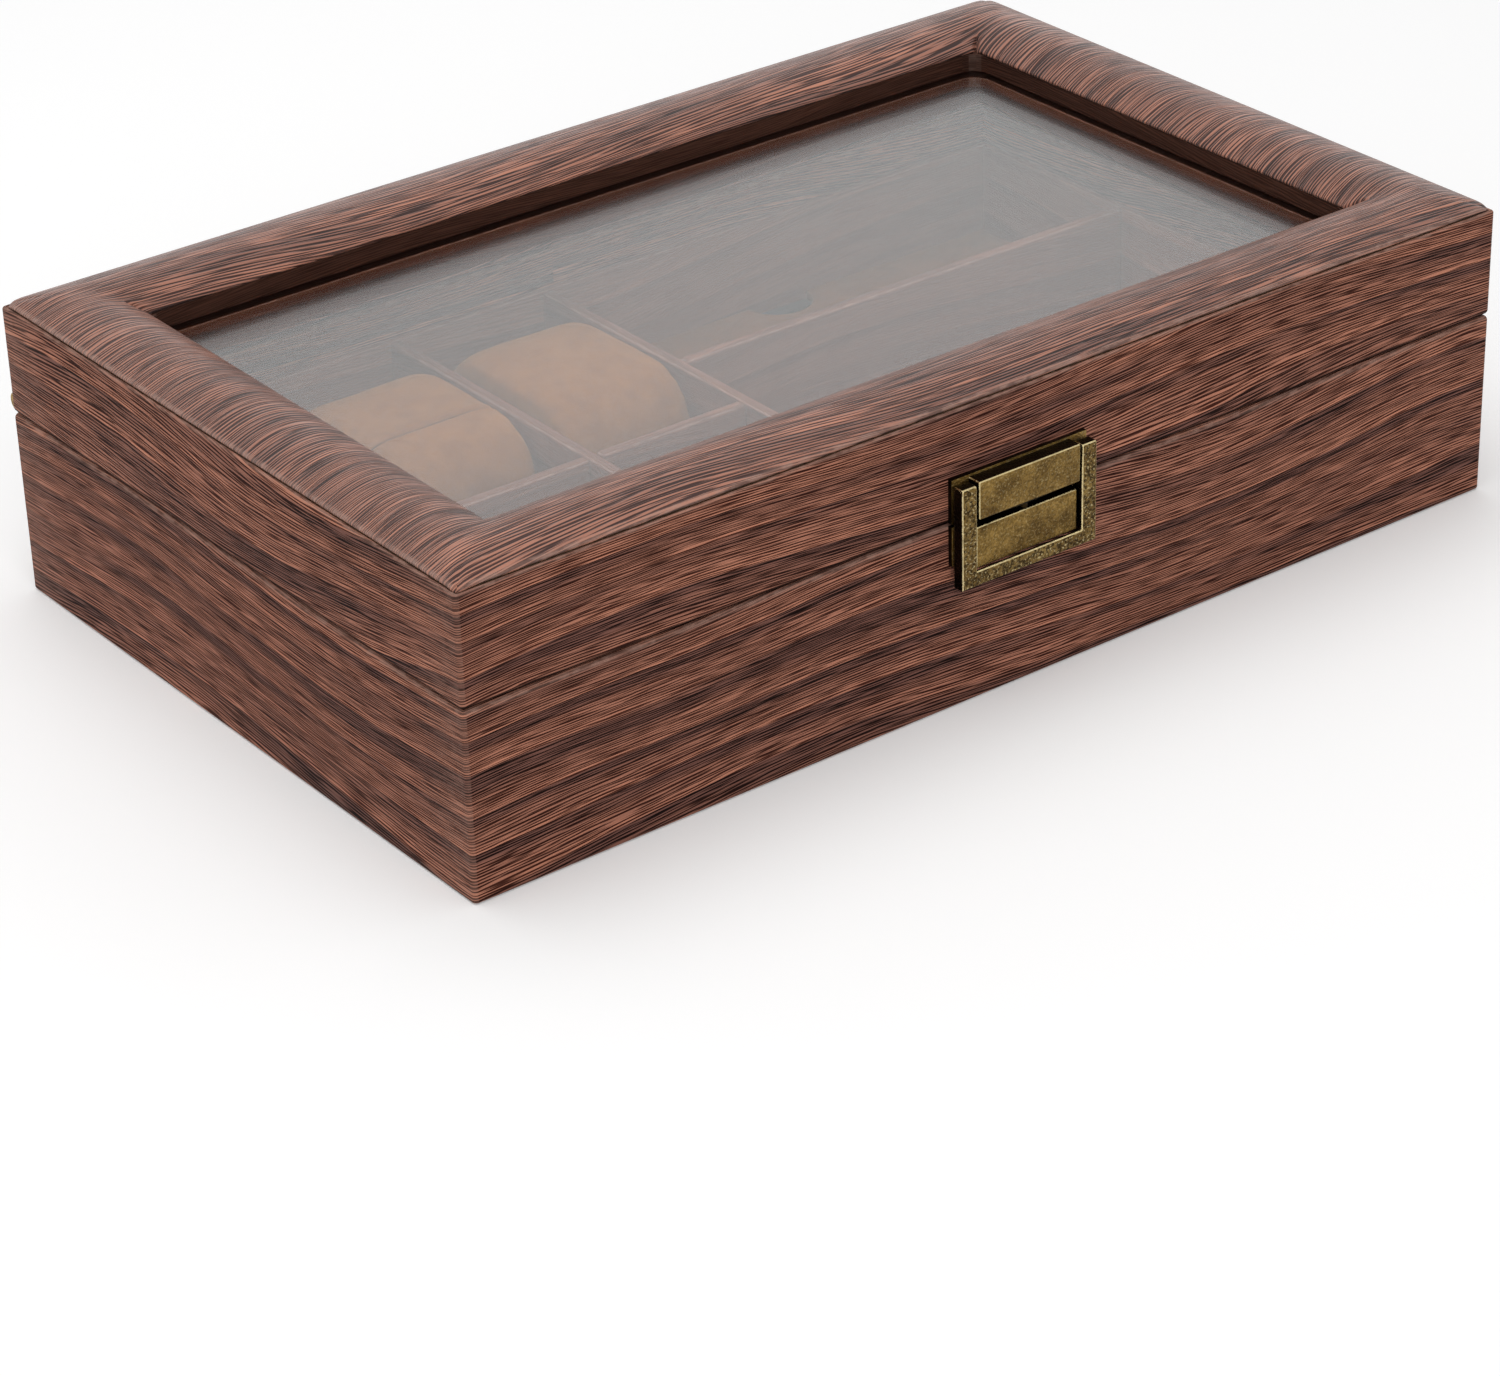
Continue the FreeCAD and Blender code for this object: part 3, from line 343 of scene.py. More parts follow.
def dress(piece, slot, *nodes, finish=None):
    """Give a piece its finish and let it stand for CAD nodes on their body."""
    piece.data.materials.clear()
    piece.data.materials.append(finishes[finish or slot])
    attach(piece, frame["nodes"][nodes[0]]["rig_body"])
    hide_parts(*nodes)
    return piece


# Points of a CAD mesh nearer than this are one point; parts of a normal at which a face of a fitting counts
# as square, as turned under, and as its front or back
SAME_POINT = 0.002 * MM
SQUARE, TURNED_UNDER, FRONT_OR_BACK = 0.9, -0.35, 0.85


def eased_copy(node, width, segments=3, limit=35, reshape=None, brushed=False):
    """Copy of a CAD node with its sharp edges rounded over, marked for wear with a painted highlight on its
    eased edges and, if only brushed clear on its front, marked black on its other faces, as patina and as
    painted shade."""
    mesh = frame["nodes"][node].data.copy()
    body = bmesh.new()
    body.from_mesh(mesh)
    bmesh.ops.remove_doubles(body, verts=body.verts, dist=SAME_POINT)
    bmesh.ops.dissolve_limit(body, angle_limit=math.radians(0.5), verts=body.verts, edges=body.edges)
    if reshape:
        for vertex in body.verts:
            vertex.co = reshape(vertex.co)
    body.to_mesh(mesh)
    body.free()
    mesh.materials.clear()
    for face in mesh.polygons:
        face.material_index = 0
        face.use_smooth = False
    piece = new_piece(f"{node}_eased", mesh)
    edge = piece.modifiers.new("eased edges", "BEVEL")
    edge.width = width
    edge.segments = segments
    edge.limit_method = "ANGLE"
    edge.angle_limit = math.radians(limit)
    edge.miter_outer = "MITER_ARC"
    settle(piece)
    normals = [face.normal.copy() for face in piece.data.polygons]
    # Eased faces not turned under are marked for wear with a painted highlight
    edges = [float(max(abs(part) for part in normal) < SQUARE and normal.z > TURNED_UNDER)
             for normal in normals]
    piece.data.attributes.new("rubbed", "FLOAT", "FACE").data.foreach_set("value", edges)
    if brushed:
        # Faces other than the front are painted black: patina, and painted shade in the gap between the lid
        # bar and the base block
        dull = [0.0 if normal.y < -FRONT_OR_BACK else 0.5 if normal.y > FRONT_OR_BACK else 1.0
                for normal in normals]
        piece.data.attributes.new("black_patina_and_shade", "FLOAT", "FACE").data.foreach_set("value", dull)
    smooth(piece.data, 30)
    return piece


def lay_grain(mesh, start=0.0):
    """Lay the leatherette along each wall, and along the longer way on level faces, from another place of
    the sheet on each side."""
    right_shift, back_shift, cross_share = 0.31, 0.53, 0.7
    places = np.array([vertex.co for vertex in mesh.vertices])
    size = places.max(0) - places.min(0)
    layer = mesh.uv_layers.get("grain") or mesh.uv_layers.new(name="grain")
    for face in mesh.polygons:
        lean = [abs(part) for part in face.normal]
        if lean[2] >= max(lean[0], lean[1]):
            run, cross = (0, 1) if size[0] >= size[1] else (1, 0)
        else:
            run, cross = (1, 2) if lean[0] > lean[1] else (0, 2)
        shift = start + right_shift * (face.center.x > 0) + back_shift * (face.center.y > 0)
        for corner in face.loop_indices:
            place = mesh.vertices[mesh.loops[corner].vertex_index].co
            layer.data[corner].uv = (place[run] + shift, place[cross] + shift * cross_share)


def ring_places(half_x, half_y, radius, cuts, turns):
    """Places round a rectangle with round corners, from the middle of the back, against the clock."""
    places = []
    corners = [(-1, 1, 90), (-1, -1, 180), (1, -1, 270), (1, 1, 0)]
    last = Vector((0, half_y))
    for sx, sy, first in corners:
        centre = Vector((sx * (half_x - radius), sy * (half_y - radius)))
        arc = [centre + radius * Vector((math.cos(math.radians(first + 90 * step / turns)),
                                         math.sin(math.radians(first + 90 * step / turns))))
               for step in range(turns + 1)]
        places += [last.lerp(arc[0], step / cuts) for step in range(cuts)]
        places += arc[:-1]
        last = arc[-1]
    places += [last.lerp(Vector((0, half_y)), step / cuts) for step in range(cuts)]
    return places


def wall_skin(name, half_x, half_y, radius, profile, start):
    """Skin round the four walls from a closed profile of (inset, height, edge mark), with its grain map.
    Above zero the edge mark is wear with a painted highlight; below zero it is painted shade."""
    cuts, turns = 10, 7
    least_turn, outer_face, corner_wear = 0.25 * MM, 0.2 * MM, 0.35
    rings = []
    for inset, height, _ in profile:
        turn = max(radius - inset, least_turn)
        places = ring_places(half_x - inset, half_y - inset, turn, cuts, turns)
        rings.append([(place.x, place.y, height) for place in places])
    count = len(rings[0])
    outer = np.array(ring_places(half_x, half_y, radius, cuts, turns))
    steps = np.linalg.norm(np.roll(outer, -1, axis=0) - outer, axis=1)
    walked = np.concatenate([[0.0], np.cumsum(steps)]) + start
    rise = [0.0]
    for (a, b, _), (c, d, _) in zip(profile, profile[1:] + profile[:1]):
        rise.append(rise[-1] + math.hypot(c - a, d - b))
    body = bmesh.new()
    rubbed = body.verts.layers.float.new("rubbed")
    painted_shade = body.verts.layers.float.new("painted_shade")
    layer = body.loops.layers.uv.new("grain")
    verts = []
    for ring, (inset, _, wear_and_light) in zip(rings, profile):
        verts.append([body.verts.new(place) for place in ring])
        for vertex in verts[-1]:
            corner = abs(vertex.co.x) > half_x - radius and abs(vertex.co.y) > half_y - radius
            # Positive marks are wear with a painted highlight; negative marks are painted shade
            vertex[rubbed] = max(wear_and_light, corner_wear * (corner and inset < outer_face))
            vertex[painted_shade] = max(-wear_and_light, 0.0)
    for i in range(len(rings)):
        above = (i + 1) % len(rings)
        for j in range(count):
            beside = (j + 1) % count
            face = body.faces.new((verts[i][j], verts[i][beside], verts[above][beside], verts[above][j]))
            marks = ((j, i), (j + 1, i), (j + 1, i + 1), (j, i + 1))
            for corner, (u, v) in zip(face.loops, marks):
                corner[layer].uv = (walked[u], rise[v] + start)
    bmesh.ops.recalc_face_normals(body, faces=body.faces)
    return new_piece(name, finished_mesh(body, name))


def arc_points(centre, radius, first, last, count):
    """Points of an arc in a profile, from one angle to another, with most wear and painted highlight in the
    middle.
    """
    turns = [(math.radians(first + (last - first) * step / count), math.sin(math.pi * step / count))
             for step in range(count + 1)]
    return [(centre[0] + radius * math.cos(t), centre[1] + radius * math.sin(t), wear_and_light) for t, wear_and_light in turns]


def box_mesh(name, low, high):
    """Plain box as a cutter."""
    body = bmesh.new()
    bmesh.ops.create_cube(body, size=1.0)
    for vertex in body.verts:
        vertex.co = [low[i] + (vertex.co[i] + 0.5) * (high[i] - low[i]) for i in range(3)]
    return finished_mesh(body, name)


LEAF_WIDTH, LEAF_THICK, LEAF_FIT, LEAF_BED = 6 * MM, 1.5 * MM, 0.1 * MM, 0.02 * MM


def cut_mortises(piece, level, up):
    """Let the L-shaped hinge leaves into the rim."""
    cutters = []
    for side in ("left", "right"):
        low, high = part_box(f"hinge_base_leaf_{side}")
        edge = low.x if side == "left" else high.x
        inner = edge + LEAF_WIDTH if side == "left" else edge - LEAF_WIDTH
        span = sorted((edge, inner))
        foot, head = sorted((level - up * MM, level + up * (LEAF_THICK + LEAF_BED)))
        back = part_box("base_wrap")[1].y + MM
        front_of_cross = board_mid_y - LEAF_WIDTH / 2 - LEAF_FIT
        legs = [
            ((span[0] - LEAF_FIT, low.y - LEAF_FIT, foot), (span[1] + LEAF_FIT, back, head)),
            ((low.x - LEAF_FIT, front_of_cross, foot), (high.x + LEAF_FIT, back, head)),
        ]
        for index, (a, b) in enumerate(legs):
            cutters.append(new_piece(f"mortise_{side}_{index}", box_mesh("mortise", a, b)))
    for cutter in cutters:
        cut = piece.modifiers.new("mortise", "BOOLEAN")
        cut.operation = "DIFFERENCE"
        cut.solver = "EXACT"
        cut.object = cutter
    settle(piece)
    for cutter in cutters:
        bpy.data.objects.remove(cutter)


# Sizes of the case, read from the frame
base_low, base_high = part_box("base_wrap")
lid_low, lid_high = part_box("lid_wrap")
HALF_X, HALF_Y = base_high.x, base_high.y
board_out, board_in = -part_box("base_left_board")[0].x, -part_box("base_left_board")[1].x
SKIN = HALF_X - board_out
WALL = HALF_X - board_in
board_mid_y = (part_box("base_back_board")[0].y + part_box("base_back_board")[1].y) / 2
CORNER = 1.2 * MM


def case_walls():
    """Leatherette of the base and the lid: rolled rims at the parting, a rolled welt under the padding."""
    rim, welt, turn_in = 1.3 * MM, 0.7 * MM, 14 * MM
    inner = WALL + SKIN
    top, foot = base_high.z, base_low.z
    profile = [(0.5 * MM, foot, 0.0), (0.15 * MM, foot + 0.12 * MM, 0.8), (0.0, foot + 0.5 * MM, 0.0)]
    # The base's top rims are worn and carry a painted highlight
    profile += arc_points((rim, top - rim), rim, 180, 90, 6)
    profile += arc_points((inner - rim, top - rim), rim, 90, 0, 6)
    profile += [(inset, height, 0.0) for inset, height in (
        (inner, top - turn_in), (WALL, top - turn_in), (WALL, top - SKIN), (SKIN, top - SKIN),
        (SKIN, foot))]
    base = wall_skin("base_leatherette", HALF_X, HALF_Y, CORNER, profile, 0.2)
    cut_mortises(base, top, -1)
    smooth(base.data, 35)
    dress(base, "leatherette", "base_wrap")

    low, seam = lid_low.z, lid_high.z
    # The lid's lower outer rim is painted dark: painted shade in the parting groove
    groove_shade = (-0.6, -0.9, -0.95, -0.95, -0.95, -0.6, 0.0)
    inner_arc = arc_points((inner - rim, low + rim), rim, 0, -90, 6)
    outer_arc = arc_points((rim, low + rim), rim, -90, -180, 6)
    profile = [(inset, height, 0.0) for inset, height, _ in inner_arc]
    profile += [(inset, height, shade) for (inset, height, _), shade in zip(outer_arc, groove_shade)]
    # The welt under the padding carries a painted highlight
    profile += arc_points((welt, seam - 0.1 * MM - welt), welt, 180, 30, 8)
    profile += [(inset, height, 0.0) for inset, height in (
        (1.7 * MM, seam - 1.1 * MM), (SKIN, seam - 1.3 * MM), (SKIN, low + SKIN), (WALL, low + SKIN),
        (WALL, low + turn_in), (inner, low + turn_in))]
    lid = wall_skin("lid_leatherette", HALF_X, HALF_Y, CORNER, profile, 1.7)
    cut_mortises(lid, low, 1)
    smooth(lid.data, 35)
    dress(lid, "leatherette", "lid_wrap")


def new_tree(name, inputs):
    """Geometry-nodes tree with named inputs, the wiring for its nodes and the sockets of its inputs."""
    tree = bpy.data.node_groups.new(name, "GeometryNodeTree")
    for label, kind, value in inputs:
        socket = tree.interface.new_socket(label, in_out="INPUT", socket_type=f"NodeSocket{kind}")
        if value is not None:
            socket.default_value = value
    tree.interface.new_socket("Geometry", in_out="OUTPUT", socket_type="NodeSocketGeometry")
    wires = Wiring(tree)
    return tree, wires, wires.add("NodeGroupInput").outputs


def padded_frame_tree():
    """Geometry nodes: a profile carried round a rectangle, with soft outer and creased inner corners."""
    tree, w, given = new_tree("padded frame", [
        ("Geometry", "Geometry", None), ("Profile", "Object", None), ("Half Width", "Float", 0.16),
        ("Half Depth", "Float", 0.1), ("Side Steps", "Int", 96), ("Profile Steps", "Int", 90),
        ("Corner Round", "Float", 0.003), ("Hip Softness", "Float", 0.008), ("Crease Start", "Float", 0.02),
        ("Crease End", "Float", 0.026), ("Crease Depth", "Float", 0.002), ("Crease Width", "Float", 0.001),
        ("Unevenness", "Float", 0.0001), ("Finish", "Material", None)])
    m = w.math
    # A hair keeps divisions from zero and a weld closes the ends; then levels and insets of the roll
    hair, weld = 0.00001, 0.000004
    bead_low, bead_high, edge_level, crest_low, crest_high = 0.0796, 0.08, 0.0803, 0.08, 0.083
    bead_in, bead_out, half_rail = 0.0012, 0.0022, 0.013

    # Grid of steps round the frame and across the profile; the last row closes on the first
    round_count = m("MULTIPLY_ADD", given["Side Steps"], 4.0, 1.0)
    grid = w.add("GeometryNodeMeshGrid", {"Size X": 1.0, "Size Y": 1.0, "Vertices X": round_count,
                                          "Vertices Y": given["Profile Steps"]})
    spot = w.split(w.add("GeometryNodeInputPosition").outputs[0])
    u = m("MULTIPLY", m("ADD", spot[0], 0.5), 4.0)
    v = m("ADD", spot[1], 0.5)
    side = m("MINIMUM", m("FLOOR", m("ADD", u, 0.0001)), 3.0)
    t = m("SUBTRACT", u, side)
    bunched = m("MULTIPLY_ADD", m("COSINE", m("MULTIPLY", t, math.pi)), -0.5, 0.5)
    t = m("ADD", m("MULTIPLY", bunched, 0.85), m("MULTIPLY", t, 0.15))
    rows = m("SUBTRACT", given["Profile Steps"], 1.0)
    share = m("DIVIDE", m("MULTIPLY", v, rows), m("SUBTRACT", rows, 1.0))
    share = m("MULTIPLY", share, m("LESS_THAN", v, 0.9999))

    line = w.add("GeometryNodeObjectInfo", {"Object": given["Profile"]}).outputs["Geometry"]
    inset = w.split(w.add("GeometryNodeSampleCurve", {"Curves": line, "Factor": share}, mode="FACTOR",
                          use_all_curves=True).outputs["Position"])[0]

    # Half lengths of this side and of the sides beside it
    odd = m("MODULO", side, 2.0)
    long_half = m("ADD", m("MULTIPLY", given["Half Width"], m("SUBTRACT", 1.0, odd)),
                  m("MULTIPLY", given["Half Depth"], odd))
    far_half = m("ADD", m("MULTIPLY", given["Half Depth"], m("SUBTRACT", 1.0, odd)),
                 m("MULTIPLY", given["Half Width"], odd))
    reach = m("SUBTRACT", long_half, inset)
    a = m("MULTIPLY", m("MULTIPLY_ADD", t, 2.0, -1.0), reach)
    b = m("SUBTRACT", inset, far_half)
    from_mitre = m("SUBTRACT", reach, m("ABSOLUTE", a))

    # The hips between the sides are rounded over by sampling the profile a little lower there
    from_crease = w.ease(inset, given["Crease Start"], given["Crease End"], 1.0, 0.0)
    softness = m("MAXIMUM", m("MULTIPLY", given["Hip Softness"], from_crease), hair)
    near = m("DIVIDE", m("MAXIMUM", m("SUBTRACT", softness, from_mitre), 0.0), softness)
    drop = m("MULTIPLY", m("MULTIPLY", m("MULTIPLY", near, near), softness), 0.25)
    length = w.add("GeometryNodeCurveLength", {"Curve": line}).outputs[0]
    lower = m("MAXIMUM", m("SUBTRACT", share, m("DIVIDE", drop, length)), 0.0)
    height = w.split(w.add("GeometryNodeSampleCurve", {"Curves": line, "Factor": lower}, mode="FACTOR",
                           use_all_curves=True).outputs["Position"])[2]
    gap = m("DIVIDE", from_mitre, given["Crease Width"])
    pinch = m("MULTIPLY", m("EXPONENT", m("MULTIPLY", m("MULTIPLY", gap, gap), -1.0)),
              w.ease(inset, given["Crease Start"], given["Crease End"]))
    height = m("SUBTRACT", height, m("MULTIPLY", pinch, given["Crease Depth"]))

    # Outer corners are rounded in plan
    turn = m("MULTIPLY", given["Corner Round"], w.ease(inset, 0.0, given["Crease Start"], 1.0, 0.0))
    turn = m("MAXIMUM", turn, hair)
    left = m("MAXIMUM", m("SUBTRACT", 1.0, m("DIVIDE", from_mitre, turn)), 0.0)
    angle = m("MULTIPLY", left, math.pi / 4)
    slid = m("SUBTRACT", turn, m("MULTIPLY", turn, m("SINE", angle)))
    slid = m("SUBTRACT", reach, slid)
    inside = m("GREATER_THAN", left, 0.0)
    kept = m("MULTIPLY", m("ABSOLUTE", a), m("SUBTRACT", 1.0, inside))
    a = m("MULTIPLY", m("ADD", kept, m("MULTIPLY", slid, inside)), m("SIGN", a))
    b = m("ADD", b, m("SUBTRACT", turn, m("MULTIPLY", turn, m("COSINE", angle))))

    # Each side is turned to its place, and the crest gets a little uneven
    turned = {"Vector": w.combine(a, b, height), "Angle": m("MULTIPLY", side, math.pi / 2)}
    placed = w.add("ShaderNodeVectorRotate", turned, rotation_type="Z_AXIS").outputs[0]
    uneven = m("MULTIPLY", m("SUBTRACT", w.cloud(placed, 45.0, 2.0), 0.5), given["Unevenness"])
    lump = w.combine(0.0, 0.0, m("MULTIPLY", uneven, w.ease(height, crest_low, crest_high)))
    placed = w.add("ShaderNodeVectorMath", {0: placed, 1: lump}, operation="ADD").outputs[0]
    moved = w.add("GeometryNodeSetPosition", {"Geometry": grid.outputs["Mesh"], "Position": placed})

    # Grain map: the sheet as seen from above, carried on down the outer edge and the inner nose
    place = w.split(w.add("GeometryNodeInputPosition").outputs[0])
    in_x = m("SUBTRACT", given["Half Width"], m("ABSOLUTE", place[0]))
    in_y = m("SUBTRACT", given["Half Depth"], m("ABSOLUTE", place[1]))
    short_side = m("LESS_THAN", in_x, in_y)
    from_edge = m("MINIMUM", in_x, in_y)
    outward = m("MULTIPLY_ADD", m("LESS_THAN", from_edge, half_rail), 2.0, -1.0)
    fall = m("MULTIPLY", m("MAXIMUM", m("SUBTRACT", edge_level, place[2]), 0.0), outward)
    fall_x = m("MULTIPLY", m("MULTIPLY", fall, short_side), m("SIGN", place[0]))
    fall_y = m("MULTIPLY", m("MULTIPLY", fall, m("SUBTRACT", 1.0, short_side)), m("SIGN", place[1]))
    sheet = w.combine(m("ADD", place[0], fall_x), m("ADD", place[1], fall_y), 0.0)
    mapped = w.add("GeometryNodeStoreNamedAttribute",
                   {"Geometry": moved.outputs[0], "Name": "grain", "Value": sheet},
                   data_type="FLOAT2", domain="CORNER").outputs[0]

    # The bead along the outer edge gets a painted highlight
    near_edge = w.ease(from_edge, bead_in, bead_out, 1.0, 0.0)
    bead_highlight = m("MULTIPLY", near_edge, w.ease(place[2], bead_low, bead_high))
    mapped = w.add("GeometryNodeStoreNamedAttribute", {"Geometry": mapped, "Name": "rubbed", "Value": bead_highlight},
                   data_type="FLOAT", domain="POINT").outputs[0]
    closed = w.add("GeometryNodeMergeByDistance", {"Geometry": mapped, "Distance": weld}).outputs[0]
    smoothed = w.add("GeometryNodeSetShadeSmooth", {"Geometry": closed}).outputs[0]
    real = w.add("GeometryNodeRealizeInstances", {"Geometry": smoothed}).outputs[0]
    finished = w.add("GeometryNodeSetMaterial", {"Geometry": real, "Material": given["Finish"]}).outputs[0]
    w.add("NodeGroupOutput", {"Geometry": finished})
    return tree


def set_inputs(modifier, values):
    """Set a tree's named inputs through their identifiers."""
    for item in modifier.node_group.interface.items_tree:
        if item.in_out == "INPUT" and item.name in values:
            modifier[item.identifier] = values[item.name]


def padded_roll():
    """Padded leatherette frame of the lid, tucked into a groove outside and rolled under at the window."""
    seam = lid_high.z
    # Inset from the side of the case and rise above the seam, in millimetres, from the groove to the window
    points = [(3.8, -0.85), (2.7, -0.6), (1.75, -0.3), (1.1, 0.05), (0.8, 0.45), (0.85, 0.82),
              (1.25, 1.12), (2.2, 1.5), (4.0, 2.2), (6.0, 2.86), (8.3, 3.42), (10.8, 3.82), (13.5, 3.96),
              (16.0, 3.8), (18.2, 3.4), (20.2, 2.78), (22.2, 1.94), (24.0, 1.0), (25.4, 0.16),
              (26.3, -0.5), (26.55, -1.0), (26.2, -1.4), (25.5, -1.42), (24.8, -1.2)]
    line = bpy.data.curves.new("roll profile", "CURVE")
    line.dimensions = "3D"
    bow = line.splines.new("NURBS")
    bow.points.add(len(points) - 1)
    for point, (inset, rise) in zip(bow.points, points):
        point.co = (inset * MM, 0.0, seam + rise * MM, 1.0)
    bow.use_endpoint_u = True
    bow.order_u = 3
    bow.resolution_u = 12
    outline = new_piece("roll_profile", line)
    roll = new_piece("padded_frame", bpy.data.meshes.new("padded_frame"))
    made = roll.modifiers.new("padded frame", "NODES")
    made.node_group = padded_frame_tree()
    set_inputs(made, {"Profile": outline, "Half Width": HALF_X, "Half Depth": HALF_Y, "Side Steps": 110,
                      "Profile Steps": 84, "Corner Round": 2 * MM, "Hip Softness": 5 * MM,
                      "Crease Start": 22 * MM, "Crease End": 26.5 * MM, "Crease Depth": 2.4 * MM,
                      "Crease Width": 0.8 * MM, "Unevenness": 0.3 * MM,
                      "Finish": finishes["padded leatherette"]})
    settle(roll)
    bpy.data.objects.remove(outline)
    body = bmesh.new()
    body.from_mesh(roll.data)
    bmesh.ops.recalc_face_normals(body, faces=body.faces)
    body.to_mesh(roll.data)
    body.free()
    dress(roll, "leatherette", "lid_top_cover", "lid_top_foam", finish="padded leatherette")


def lining_and_dividers():
    """Covered liners, dividers and window frames with their rolled edges."""
    widths = {"base_liners_long": 0.7, "base_liners_short": 0.7, "lid_liners_long": 0.7,
              "lid_liners_short": 0.7, "main_divider": 1.1, "watch_row_divider": 1.1,
              "watch_column_dividers": 1.1, "glasses_dividers": 1.1, "window_reveal": 0.35,
              "window_retainer": 0.6}
    sheet_step = 0.23
    for index, (node, width) in enumerate(widths.items()):
        piece = eased_copy(node, width * MM)
        lay_grain(piece.data, sheet_step * index)
        # The window reveal takes the darkened copy, which paints the shade under the roll's nose
        finish = "shaded reveal leatherette" if node == "window_reveal" else "lining leatherette"
        dress(piece, "leatherette", node, finish=finish)


def glasses_floor():
    """Velvet panels under the glasses and the lining under the pillows."""
    widths = {"glasses_panel_front": 0.7, "glasses_panel_middle": 0.7, "glasses_panel_back": 0.7,
              "watch_floor_lining": 0.3}
    for node, width in widths.items():
        dress(eased_copy(node, width * MM), "velvet", node)


def outer_shell(node):
    """Outer surface of a hollow cover, merged."""
    body = bmesh.new()
    body.from_mesh(frame["nodes"][node].data)
    bmesh.ops.remove_doubles(body, verts=body.verts, dist=SAME_POINT)
    groups, seen = [], set()
    for vertex in body.verts:
        if vertex.index in seen:
            continue
        island, todo = [], [vertex]
        seen.add(vertex.index)
        while todo:
            one = todo.pop()
            island.append(one)
            for edge in one.link_edges:
                other = edge.other_vert(one)
                if other.index not in seen:
                    seen.add(other.index)
                    todo.append(other)
        groups.append(island)
    groups.sort(key=lambda island: max(v.co.x for v in island) - min(v.co.x for v in island))
    bmesh.ops.delete(body, geom=[v for island in groups[:-1] for v in island], context="VERTS")
    return finished_mesh(body, node)


PILLOWS = [f"{row}_{column}" for row in ("front", "back") for column in ("left", "middle", "right")]
# Pillows with the joint of their cover upward, and its place as a share of the half depth
JOINED = {"back_middle": -0.31, "back_left": 0.12, "front_middle": 0.1}
# Cuts beside a joint, in millimetres, and the lumps of a stuffed pillow: how close and how high
JOINT_CUTS = (-2.4, -1.6, -0.9, -0.5, -0.25, 0.0, 0.25, 0.5, 0.9, 1.6, 2.4)
LUMPS = ((38, 0.4), (95, 0.12))


def swollen_pillow():
    """One pillow blown up by a cloth simulation from a slightly smaller form, about its own middle."""
    mesh = outer_shell("pillow_cover_front_left")
    low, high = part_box("pillow_cover_front_left")
    middle = (low + high) / 2
    size = high - low
    slack, most_swell, last_step = (2.6 * MM, 2.6 * MM, 2.2 * MM), 1.6 * MM, 20
    shrink = Vector([1 - less / whole for less, whole in zip(slack, size)])
    for vertex in mesh.vertices:
        vertex.co = (vertex.co - middle) * shrink
    trial = new_piece("pillow_trial", mesh)
    remesh = trial.modifiers.new("even mesh", "REMESH")
    remesh.mode = "VOXEL"
    remesh.voxel_size = 3.2 * MM
    settle(trial)
    rest = np.array([vertex.co for vertex in trial.data.vertices])
    cloth = trial.modifiers.new("stuffing", "CLOTH")
    cloth.settings.quality = 6
    cloth.settings.mass = 0.15
    cloth.settings.tension_stiffness = 12
    cloth.settings.compression_stiffness = 12
    cloth.settings.bending_stiffness = 0.4
    cloth.settings.use_pressure = True
    cloth.settings.uniform_pressure_force = 4.0
    cloth.settings.effector_weights.gravity = 0.0
    cloth.point_cache.frame_start = 1
    cloth.point_cache.frame_end = last_step
    for step in range(1, last_step + 1):
        bpy.context.scene.frame_set(step)
    settle(trial)
    bpy.context.scene.frame_set(1)
    grown = np.array([vertex.co for vertex in trial.data.vertices])
    move = grown - rest
    far = np.linalg.norm(move, axis=1, keepdims=True)
    move *= np.minimum(1.0, most_swell / np.maximum(far, 1e-9))
    for vertex, place in zip(trial.data.vertices, rest + move):
        vertex.co = place
    finer = trial.modifiers.new("finer", "SUBSURF")
    finer.levels = finer.render_levels = 1
    settle(trial)
    made = trial.data.copy()
    bpy.data.objects.remove(trial)
    return made


def watch_pillows():
    """Six suede pillows, no two alike, some lying with the joint of their cover upward."""
    stuffed = swollen_pillow()
    for index, name in enumerate(PILLOWS):
        node = f"pillow_cover_{name}"
        low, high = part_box(node)
        middle, half = (low + high) / 2, (high - low) / 2
        body = bmesh.new()
        body.from_mesh(stuffed)
        joint = JOINED.get(name)
        if joint is not None:
            for offset in JOINT_CUTS:
                bmesh.ops.bisect_plane(body, geom=list(body.verts) + list(body.edges) + list(body.faces),
                                       plane_co=(0, joint * half.y + offset * MM, 0), plane_no=(0, 1, 0))
        sewn = body.verts.layers.float.new("joint")
        seed = Vector((index * 3.7, 1.3, 7.1))
        limit = half - Vector((0.02 * MM,) * 3)
        for vertex in body.verts:
            lump = sum(noise.noise(vertex.co * close + seed) * rise * MM for close, rise in LUMPS)
            place = vertex.co + vertex.co.normalized() * lump
            if joint is not None and vertex.co.z > 0:
                off = (vertex.co.y - joint * half.y) / MM
                vertex[sewn] = 0.9 * (abs(off) < 0.3)
                groove = 0.9 * math.exp(-(off / 0.6) ** 2)
                swell = 0.28 * math.exp(-((abs(off) - 1.7) / 0.8) ** 2)
                place.z -= (groove - swell) * MM
            place = Vector([max(-limit[i], min(limit[i], place[i])) for i in range(3)])
            vertex.co = place + middle
        mesh = finished_mesh(body, f"pillow_{name}")
        mesh.shade_smooth()
        pillow = dress(new_piece(f"pillow_{name}", mesh), "suede", node, f"pillow_core_{name}")


